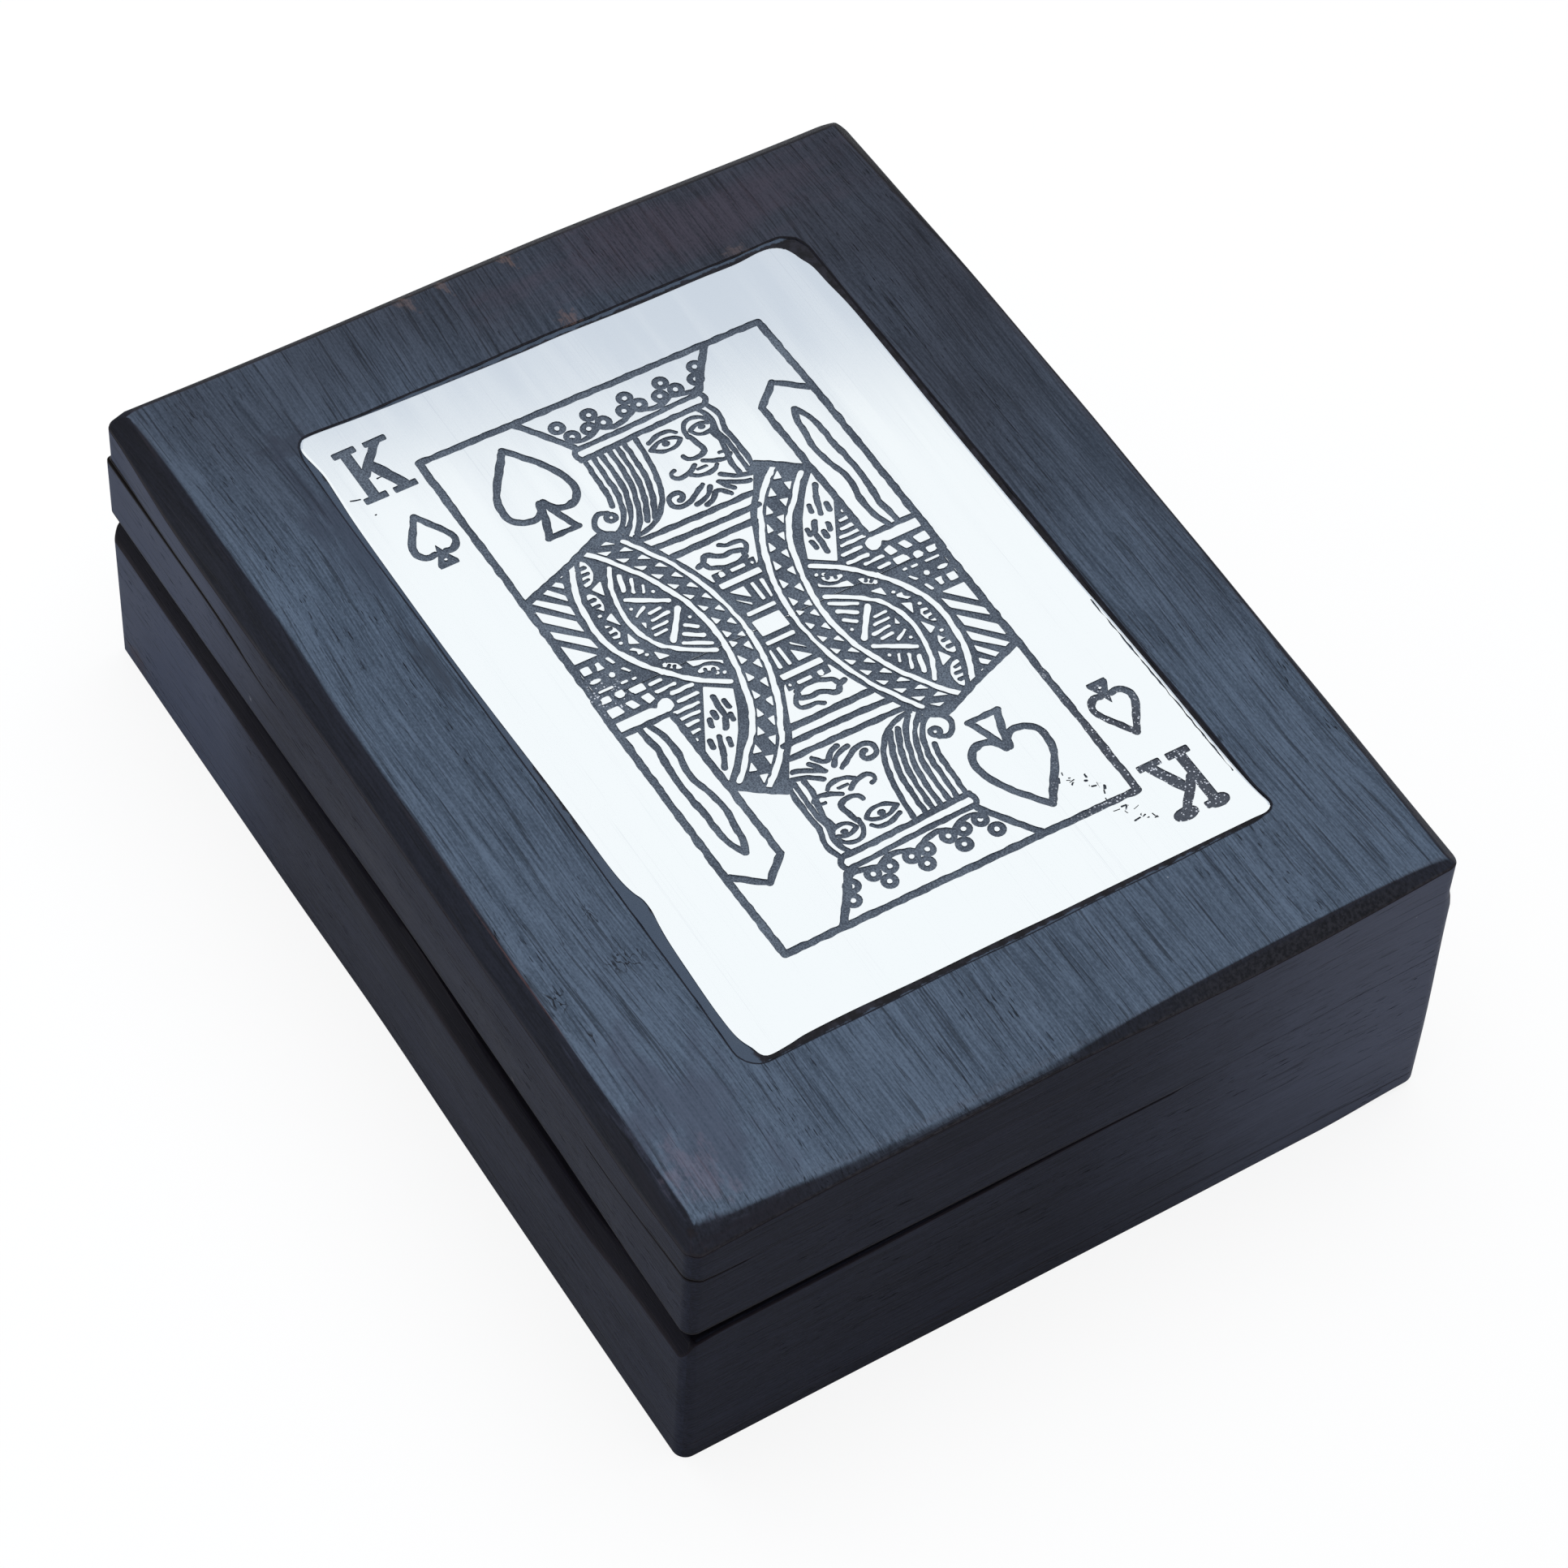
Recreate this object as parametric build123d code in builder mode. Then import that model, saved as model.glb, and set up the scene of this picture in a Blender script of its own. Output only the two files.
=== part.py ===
"""Playing card box: a mitred wooden box with a hinged lid and a metal plate let into its top.

All sizes are in millimetres. X runs along the long side, the front is at -Y, and Z = 0 is the
table. The origin is the centre of the underside of the wooden box.
"""

from build123d import *
from math import radians, tan
import os

# Wooden box
box_length = 120.0
box_width = 91.2
corner_radius = 2.8  # vertical corners, in plan
rail_thickness = 8.0
bottom_thickness = 2.6
base_height = 23.3  # from the table to the base's rim at the back
back_gap = 0.3  # rim to lid at the back
front_gap = 2.3  # rim to lid at the front, where the rim is planed lower
finger_bevel_height = 2.8
finger_bevel_depth = 1.0
lid_rail_height = 9.6
lid_board_thickness = 6.2
top_bevel_run = 1.95
top_bevel_drop = 1.25

# Metal plate, and the black filler under and round it
plate_length = 89.9
plate_width = 60.7
plate_thickness = 0.8
plate_corner_radius = 2.6
plate_shift_x = -0.65
plate_shift_y = 0.9
filler_width = 0.85
filler_bed = 0.2
filler_drop = 0.1  # how far the filler's rim lies below the top

# Felt lining on the floor of the base
lining_thickness = 1.0
lining_clearance = 0.3

# Butt hinges, let into the back rails
hinge_spacing = 72.0
hinge_length = 24.0
leaf_reach = 6.5  # from the back face of the box into the rail
leaf_thickness = 0.9
leaf_gap = 0.6  # between the two closed leaves
barrel_radius = 1.5
barrel_offset = 0.8  # the pin's axis lies this far behind the back face
barrel_clearance = 0.25
barrel_end_clearance = 0.3
lid_knuckle_length = 8.0
knuckle_gap = 0.2
pin_radius = 0.75
pin_running_clearance = 0.05
pin_tight_clearance = 0.02
pin_end_chamfer = 0.2
mortise_clearance = 0.1

# Countersunk slotted screws
screw_spacing = 14.0
screw_setback = 3.6  # from the back face to the screw's axis
screw_length = 6.0
screw_head_radius = 1.5
screw_shank_radius = 0.75
screw_point_length = 1.6
screw_clearance = 0.05
countersink_angle = 90.0
slot_width = 0.5
slot_depth = 0.3

# Heights and places that follow
lid_underside = base_height + back_gap
rim_front = lid_underside - front_gap
lid_seam = lid_underside + lid_rail_height
box_height = lid_seam + lid_board_thickness
inner_length = box_length - 2 * rail_thickness
inner_width = box_width - 2 * rail_thickness
front_face = -box_width / 2
back_face = box_width / 2
pocket_depth = plate_thickness + filler_bed
pocket_length = plate_length + 2 * filler_width
pocket_width = plate_width + 2 * filler_width
pocket_corner_radius = plate_corner_radius + filler_width
screw_head_height = (screw_head_radius - screw_shank_radius) / tan(radians(countersink_angle / 2))
hinge_axis_y = back_face + barrel_offset
hinge_axis_z = base_height + back_gap / 2
base_knuckle_length = (hinge_length - lid_knuckle_length) / 2 - knuckle_gap
base_knuckle_shift = (hinge_length - base_knuckle_length) / 2
hinge_places = {"left": -hinge_spacing / 2, "right": hinge_spacing / 2}
LID = 1  # the lid's leaf lies above the hinge's axis
BASE = -1  # and the base's leaf below it

# The rim of the base is one plane, lower at the front than at the back
rim_plane = Plane(
    origin=(0, front_face, rim_front),
    x_dir=(1, 0, 0),
    z_dir=(0, rim_front - base_height, box_width),
)
# The finger bevel is a second plane along the base's upper front edge
bevel_plane = Plane(
    origin=(0, front_face, rim_front - finger_bevel_height),
    x_dir=(1, 0, 0),
    z_dir=(0, -finger_bevel_height, finger_bevel_depth),
)

os.makedirs("parts", exist_ok=True)


def finish(piece, label):
    """Label a finished piece and write it under its own name."""
    piece.part.label = label
    export_step(piece.part, f"parts/{label}.step")


def rail_outline(side):
    """Corners in plan of one mitred rail with square outer corners."""
    outer_x, outer_y = box_length / 2, box_width / 2
    inner_x, inner_y = inner_length / 2, inner_width / 2
    front = [(-outer_x, -outer_y), (outer_x, -outer_y), (inner_x, -inner_y), (-inner_x, -inner_y)]
    right = [(outer_x, -outer_y), (outer_x, outer_y), (inner_x, inner_y), (inner_x, -inner_y)]
    if side in ("front", "right"):
        return front if side == "front" else right
    return [(-x, -y) for x, y in (front if side == "back" else right)]


def rail_block(side, bottom, top):
    """Mitred rail between two heights, with the rounded corners of the box."""
    with BuildSketch(Plane.XY.offset(bottom)) as plan:
        Polygon(*rail_outline(side), align=None)
        RectangleRounded(box_length, box_width, corner_radius, mode=Mode.INTERSECT)
    extrude(plan.sketch, amount=top - bottom)


def cylinder_on_axis(radius, length, centre_x, mode=Mode.ADD):
    """Cylinder round the hinge's axis, centred at one place along it."""
    with Locations((centre_x, hinge_axis_y, hinge_axis_z)):
        Cylinder(radius, length, rotation=(0, 90, 0), mode=mode)


def leaf_block(centre_x, side, back, near, far, slack=0, mode=Mode.ADD):
    """Block as long as a leaf, from the leaf's inner end to back, at near to far off the axis."""
    inner_end = back_face - leaf_reach - slack
    centre_z = hinge_axis_z + side * (near + far) / 2
    with Locations((centre_x, (inner_end + back) / 2, centre_z)):
        Box(hinge_length + 2 * slack, back - inner_end, far - near, mode=mode)


def screw_places(centre_x):
    """X of the two screws of a leaf."""
    return [centre_x - screw_spacing / 2, centre_x + screw_spacing / 2]


def hinge_mortises(side):
    """Recesses in a back rail for both leaves, their barrels and their screws."""
    leaf_back = leaf_gap / 2 + leaf_thickness
    for centre_x in hinge_places.values():
        leaf_block(centre_x, side, back_face, 0, leaf_back, mortise_clearance, Mode.SUBTRACT)
        notch_length = hinge_length + 2 * barrel_end_clearance
        cylinder_on_axis(barrel_radius + barrel_clearance, notch_length, centre_x, Mode.SUBTRACT)
        for screw_x in screw_places(centre_x):
            screw_shape(screw_x, side, screw_clearance, Mode.SUBTRACT)


def leaf(centre_x, side):
    """Flat of one hinge leaf, up to the hinge's axis."""
    leaf_block(centre_x, side, hinge_axis_y, leaf_gap / 2, leaf_gap / 2 + leaf_thickness)


def knuckle_room(length, centre_x):
    """Room in a leaf for a knuckle of the other leaf."""
    cylinder_on_axis(barrel_radius + knuckle_gap, length + 2 * knuckle_gap, centre_x, Mode.SUBTRACT)


def screw_shape(screw_x, side, slack=0, mode=Mode.ADD):
    """Countersunk screw flush with its leaf and pointing into the rail, or the hole for it."""
    head_face = (screw_x, back_face - screw_setback, hinge_axis_z + side * leaf_gap / 2)
    with BuildSketch(Plane(origin=head_face, x_dir=(1, 0, 0), z_dir=(0, -side, 0))) as profile:
        with BuildLine():
            Polyline(
                (0, 0),
                (screw_head_radius + slack, 0),
                (screw_shank_radius + slack, screw_head_height),
                (screw_shank_radius + slack, screw_length - screw_point_length),
                (0, screw_length + slack),
                close=True,
            )
        make_face()
    revolve(profile.sketch, axis=Axis(head_face, (0, 0, side)), mode=mode)


def screw_slot(screw_x, side):
    """Slot for the driver across a screw's head."""
    head_face = (screw_x, back_face - screw_setback, hinge_axis_z + side * leaf_gap / 2)
    with Locations(head_face):
        Box(2 * screw_head_radius, slot_width, 2 * slot_depth, mode=Mode.SUBTRACT)


# Lid ---------------------------------------------------------------------------------------

with BuildPart() as lid_top_board:
    with BuildSketch(Plane.XY.offset(lid_seam)):
        RectangleRounded(box_length, box_width, corner_radius)
    extrude(amount=lid_board_thickness)
    top_face = lid_top_board.faces().sort_by(Axis.Z)[-1]
    chamfer(top_face.edges(), length=top_bevel_run, length2=top_bevel_drop, reference=top_face)
    with BuildSketch(Plane.XY.offset(box_height)):
        with Locations((plate_shift_x, plate_shift_y)):
            RectangleRounded(pocket_length, pocket_width, pocket_corner_radius)
    extrude(amount=-pocket_depth, mode=Mode.SUBTRACT)
finish(lid_top_board, "lid_top_board")

for rail_side in ("front", "left", "right"):
    with BuildPart() as lid_rail:
        rail_block(rail_side, lid_underside, lid_seam)
    finish(lid_rail, f"lid_rail_{rail_side}")

with BuildPart() as lid_rail_back:
    rail_block("back", lid_underside, lid_seam)
    hinge_mortises(LID)
finish(lid_rail_back, "lid_rail_back")

with BuildPart() as inlay_filler:
    with BuildSketch(Plane.XY.offset(box_height - pocket_depth)):
        with Locations((plate_shift_x, plate_shift_y)):
            RectangleRounded(pocket_length, pocket_width, pocket_corner_radius)
    extrude(amount=pocket_depth - filler_drop)
    with BuildSketch(Plane.XY.offset(box_height - plate_thickness)):
        with Locations((plate_shift_x, plate_shift_y)):
            RectangleRounded(plate_length, plate_width, plate_corner_radius)
    extrude(amount=plate_thickness, mode=Mode.SUBTRACT)
finish(inlay_filler, "inlay_filler")

with BuildPart() as inlay_plate:
    with BuildSketch(Plane.XY.offset(box_height - plate_thickness)):
        with Locations((plate_shift_x, plate_shift_y)):
            RectangleRounded(plate_length, plate_width, plate_corner_radius)
    extrude(amount=plate_thickness)
finish(inlay_plate, "inlay_plate")

# Base --------------------------------------------------------------------------------------

with BuildPart() as base_bottom_board:
    with BuildSketch(Plane.XY):
        RectangleRounded(box_length, box_width, corner_radius)
    extrude(amount=bottom_thickness)
finish(base_bottom_board, "base_bottom_board")

for rail_side in ("front", "left", "right"):
    with BuildPart() as base_rail:
        rail_block(rail_side, bottom_thickness, lid_underside)
        split(bisect_by=rim_plane, keep=Keep.BOTTOM)
        split(bisect_by=bevel_plane, keep=Keep.BOTTOM)
    finish(base_rail, f"base_rail_{rail_side}")

with BuildPart() as base_rail_back:
    rail_block("back", bottom_thickness, lid_underside)
    split(bisect_by=rim_plane, keep=Keep.BOTTOM)
    hinge_mortises(BASE)
finish(base_rail_back, "base_rail_back")

with BuildPart() as base_lining:
    with BuildSketch(Plane.XY.offset(bottom_thickness)):
        Rectangle(inner_length - 2 * lining_clearance, inner_width - 2 * lining_clearance)
    extrude(amount=lining_thickness)
finish(base_lining, "base_lining")

# Hinges ------------------------------------------------------------------------------------

for place, hinge_x in hinge_places.items():
    base_knuckles = [hinge_x - base_knuckle_shift, hinge_x + base_knuckle_shift]

    with BuildPart() as base_leaf:
        leaf(hinge_x, BASE)
        knuckle_room(lid_knuckle_length, hinge_x)
        for knuckle_x in base_knuckles:
            cylinder_on_axis(barrel_radius, base_knuckle_length, knuckle_x)
        cylinder_on_axis(pin_radius + pin_tight_clearance, hinge_length, hinge_x, Mode.SUBTRACT)
        for screw_x in screw_places(hinge_x):
            screw_shape(screw_x, BASE, screw_clearance, Mode.SUBTRACT)
    finish(base_leaf, f"hinge_{place}_base_leaf")

    with BuildPart() as lid_leaf:
        leaf(hinge_x, LID)
        for knuckle_x in base_knuckles:
            knuckle_room(base_knuckle_length, knuckle_x)
        cylinder_on_axis(barrel_radius, lid_knuckle_length, hinge_x)
        cylinder_on_axis(pin_radius + pin_running_clearance, hinge_length, hinge_x, Mode.SUBTRACT)
        for screw_x in screw_places(hinge_x):
            screw_shape(screw_x, LID, screw_clearance, Mode.SUBTRACT)
    finish(lid_leaf, f"hinge_{place}_lid_leaf")

    with BuildPart() as pin:
        cylinder_on_axis(pin_radius, hinge_length, hinge_x)
        chamfer(pin.edges().filter_by(GeomType.CIRCLE), length=pin_end_chamfer)
    finish(pin, f"hinge_{place}_pin")

    for side_name, side in (("base", BASE), ("lid", LID)):
        with BuildPart() as screws:
            for screw_x in screw_places(hinge_x):
                screw_shape(screw_x, side)
                screw_slot(screw_x, side)
        finish(screws, f"hinge_{place}_{side_name}_screws")
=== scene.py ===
"""Looks of the playing card box: stained wood, an etched metal plate, brass hinges and a felt floor.

Sizes are in millimetres in the box's own frame: X runs along the long side, the front is at -Y and
Z = 0 is the table. Meshes are scaled to metres when they are made. The figure on the plate is drawn
in card millimetres, u across (the box's +Y) and v up the card (the box's -X).
"""

import logging
import math
from collections.abc import Callable, Iterable, Sequence
from dataclasses import dataclass, field, replace
from enum import Enum

import bmesh
import bpy
import numpy as np
from mathutils import Matrix, Vector
from mathutils.geometry import delaunay_2d_cdt


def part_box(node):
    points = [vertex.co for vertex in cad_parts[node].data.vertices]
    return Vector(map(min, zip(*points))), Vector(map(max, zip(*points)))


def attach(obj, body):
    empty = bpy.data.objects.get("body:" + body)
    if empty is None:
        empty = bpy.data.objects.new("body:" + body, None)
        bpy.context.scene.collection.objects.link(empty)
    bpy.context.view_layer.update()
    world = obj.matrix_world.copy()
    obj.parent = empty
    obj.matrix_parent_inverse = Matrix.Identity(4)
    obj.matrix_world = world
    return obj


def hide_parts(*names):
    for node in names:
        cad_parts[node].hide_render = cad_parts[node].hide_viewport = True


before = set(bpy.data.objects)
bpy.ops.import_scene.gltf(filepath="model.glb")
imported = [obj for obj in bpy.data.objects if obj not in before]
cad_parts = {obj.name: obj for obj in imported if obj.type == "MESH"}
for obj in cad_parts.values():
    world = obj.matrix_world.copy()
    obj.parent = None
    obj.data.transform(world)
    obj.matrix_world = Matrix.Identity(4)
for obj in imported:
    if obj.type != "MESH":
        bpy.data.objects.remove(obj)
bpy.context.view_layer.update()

MM = 0.001
LID = "lid"
BASE = "base"
log = logging.getLogger("card_box")

Array = np.ndarray
Pair = tuple[Array, Array]
Point = tuple[float, float]
Triple = tuple[float, float, float]
Piece = bpy.types.Object
Material = bpy.types.Material
Socket = bpy.types.NodeSocket
Field = Callable[[Array, Array], Array]
Height = Callable[[Array, Array], Pair]


def node_box(node: str) -> Pair:
    """Lowest and highest corner of a node of the frame, in millimetres."""
    low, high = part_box(node)
    return np.array(low) / MM, np.array(high) / MM


# Geometry helpers ----------------------------------------------------------------------------


def smooth_curve(x: Array, knots: dict[float, float]) -> Array:
    """Smooth line through a few given places.

    Args:
        x: Where the line is read.
        knots: Value at each place, in rising order of place.

    Returns:
        The line's value at each x, constant beyond the ends.
    """
    places, values = np.array(list(knots)), np.array(list(knots.values()))
    slopes = np.gradient(values, places)
    x = np.clip(np.asarray(x, float), places[0], places[-1])
    k = np.clip(np.searchsorted(places, x) - 1, 0, len(places) - 2)
    span = places[k + 1] - places[k]
    t = (x - places[k]) / span
    start = (1 + 2 * t) * (1 - t) ** 2 * values[k] + t * (1 - t) ** 2 * span * slopes[k]
    return start + t**2 * (3 - 2 * t) * values[k + 1] + t**2 * (t - 1) * span * slopes[k + 1]


def smooth_min(a: Array, b: Array, blend: float) -> Pair:
    """Lower of two heights with a rounded crease between them.

    Args:
        a: First height.
        b: Second height.
        blend: Height difference over which the crease is rounded.

    Returns:
        The blended height, and how close each point is to the crease, from 0 to 1.
    """
    h = np.clip(0.5 + 0.5 * (b - a) / blend, 0, 1)
    return b + (a - b) * h - blend * h * (1 - h), 4 * h * (1 - h)


def arris_drop(depth: Array, radius: Array) -> Array:
    """How far a rounded arris lies below the sharp one, at a depth from the face."""
    inside = np.clip(radius - depth, 0, None)
    return radius - np.sqrt(np.clip(radius**2 - inside**2, 0, None))


def ramp(value: Array, low: float, high: float) -> Array:
    """Smooth step from 0 at low to 1 at high."""
    t = np.clip((value - low) / (high - low), 0, 1)
    return t * t * (3 - 2 * t)


def waves(x: Array, y: Array, length: float) -> Array:
    """Slow unevenness between -1 and 1 with waves of about one length.

    Args:
        x: Places along.
        y: Places across.
        length: Length of one wave.

    Returns:
        The unevenness at each place.
    """
    k = 2 * math.pi / length
    first = np.sin(k * x + 1.3 + 0.7 * np.sin(0.43 * k * y))
    return 0.5 * (first + np.sin(0.61 * k * y + 0.37 * k * x + 4.1))


def catmull_rom(points: Array, step: float) -> Array:
    """Smooth curve through points.

    Args:
        points: Places that the curve passes through.
        step: About how far apart the curve's own points lie.

    Returns:
        The curve's points, ends included.
    """
    if len(points) == 2:
        count = max(2, int(np.linalg.norm(points[1] - points[0]) / step) + 1)
        return points[0] + np.linspace(0, 1, count)[:, None] * (points[1] - points[0])
    padded = np.vstack([2 * points[0] - points[1], points, 2 * points[-1] - points[-2]])
    gaps = np.sqrt(np.linalg.norm(np.diff(padded, axis=0), axis=1))
    pieces = []
    for k in range(len(points) - 1):
        p0, p1, p2, p3 = padded[k : k + 4]
        before, here, after = gaps[k : k + 3]
        leave = (p2 - p1) + here * ((p1 - p0) / before - (p2 - p0) / (before + here))
        arrive = (p2 - p1) + here * ((p3 - p2) / after - (p3 - p1) / (here + after))
        count = max(2, int(np.linalg.norm(p2 - p1) / step) + 1)
        t = np.linspace(0, 1, count, endpoint=False)[:, None]
        start = (1 + 2 * t) * (1 - t) ** 2 * p1 + t * (1 - t) ** 2 * leave
        pieces.append(start + t * t * (3 - 2 * t) * p2 + t * t * (t - 1) * arrive)
    return np.vstack([*pieces, points[-1:]])


def resample(points: Array, shares: Array) -> Array:
    """Points of a polyline at given shares of its length.

    Args:
        points: The polyline.
        shares: Shares of its length, from 0 to 1.

    Returns:
        The points there.
    """
    along = np.concatenate([[0], np.cumsum(np.linalg.norm(np.diff(points, axis=0), axis=1))])
    wanted = shares * along[-1]
    return np.stack([np.interp(wanted, along, points[:, axis]) for axis in (0, 1)], 1)


def link(name: str, data: bpy.types.ID) -> Piece:
    """New object in the scene.

    Args:
        name: Name of the object.
        data: Its mesh, camera or lamp.

    Returns:
        The object.
    """
    made = bpy.data.objects.new(name, data)
    bpy.context.scene.collection.objects.link(made)
    return made


def rework(piece: Piece, *steps: Callable[[bmesh.types.BMesh], object]) -> None:
    """Edit a piece's mesh in a few steps.

    Args:
        piece: The piece.
        *steps: What is done to its mesh, in turn.
    """
    work = bmesh.new()
    work.from_mesh(piece.data)
    for step in steps:
        step(work)
    work.to_mesh(piece.data)
    work.free()


def dress(piece: Piece, *materials: Material) -> None:
    """Give a piece its materials, in the order of its faces' indices.

    Args:
        piece: The piece.
        *materials: Materials for index 0 and on.
    """
    if piece.data.materials:
        piece.data.materials.clear()
    for material in materials:
        piece.data.materials.append(material)


def place_piece(piece: Piece, body: str, node: str) -> None:
    """Ride a piece on its body in place of a node.

    Args:
        piece: The piece.
        body: Body that it moves with.
        node: Node of the frame that it replaces.
    """
    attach(piece, body)
    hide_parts(node)
    log.info("%s: %d faces for %s", piece.name, len(piece.data.polygons), node)


@dataclass
class MeshDraft:
    """Vertices and faces gathered in millimetres before they become a Blender object."""

    points: list[Array] = field(default_factory=list)
    faces: list[tuple[int, ...]] = field(default_factory=list)
    arris: list[Array] = field(default_factory=list)
    joint: list[Array] = field(default_factory=list)
    count: int = 0
    merge: float = 0.001

    def add_points(self, points: Array, arris: Array | float = 0, joint: Array | float = 0) -> Array:
        """Add points and return their indices in the same arrangement.

        Args:
            points: Array whose last axis is x, y, z.
            arris: How close each point is to a worn arris, from 0 to 1.
            joint: How dark each point is painted, from 0 to 1, for an open glue seam and for painted shade in
                the gap under the lid.

        Returns:
            Indices shaped as points is without its last axis.
        """
        flat = points.reshape(-1, 3)
        self.points.append(flat)
        for kept, weight in ((self.arris, arris), (self.joint, joint)):
            kept.append(np.broadcast_to(weight, points.shape[:-1]).reshape(-1).astype(float))
        indices = np.arange(self.count, self.count + len(flat)).reshape(points.shape[:-1])
        self.count += len(flat)
        return indices

    def add_grid(self, grid: Array, wrap_rows: bool = False, wrap_columns: bool = False) -> None:
        """Join a grid of indices with quads.

        Args:
            grid: Indices by row and column.
            wrap_rows: Whether the last row joins the first.
            wrap_columns: Whether the last column joins the first.
        """
        if wrap_rows:
            grid = np.vstack([grid, grid[:1]])
        if wrap_columns:
            grid = np.hstack([grid, grid[:, :1]])
        quads = np.stack([grid[:-1, :-1], grid[1:, :-1], grid[1:, 1:], grid[:-1, 1:]], -1)
        self.faces.extend(map(tuple, quads.reshape(-1, 4).tolist()))

    def close(self, *loops: Array) -> None:
        """Lay a face over each loop of indices."""
        self.faces.extend(tuple(loop.tolist()) for loop in loops)

    def build(self, name: str, sharp: float = 50) -> Piece:
        """Make the object, in metres, with its arris and joint attributes.

        Args:
            name: Name of the piece.
            sharp: Edges sharper than this angle stay sharp, and the rest is shaded smooth.

        Returns:
            The new object, in the scene.
        """
        mesh = bpy.data.meshes.new(name)
        mesh.from_pydata((np.vstack(self.points) * MM).tolist(), [], self.faces)
        for label, weight in (("arris", self.arris), ("joint", self.joint)):
            mesh.attributes.new(label, "FLOAT", "POINT").data.foreach_set("value", np.concatenate(weight))
        piece = link(name, mesh)
        near = self.merge * MM
        rework(
            piece,
            lambda work: bmesh.ops.remove_doubles(work, verts=work.verts, dist=near),
            lambda work: bmesh.ops.dissolve_degenerate(work, edges=work.edges, dist=near),
            lambda work: bmesh.ops.recalc_face_normals(work, faces=work.faces),
        )
        mesh.polygons.foreach_set("use_smooth", [True] * len(mesh.polygons))
        mesh.set_sharp_from_angle(angle=math.radians(sharp))
        mesh.update()
        return piece


# Shader helpers ------------------------------------------------------------------------------


def linear(red: float, green: float, blue: float) -> tuple[float, float, float, float]:
    """Shader colour from 8-bit display values.

    Args:
        red: Red from 0 to 255.
        green: Green from 0 to 255.
        blue: Blue from 0 to 255.

    Returns:
        Linear red, green, blue and alpha.
    """

    def channel(value: float) -> float:
        """One display value as a linear one."""
        value /= 255
        return value / 12.92 if value <= 0.04045 else ((value + 0.055) / 1.055) ** 2.4

    return (channel(red), channel(green), channel(blue), 1)


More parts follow.
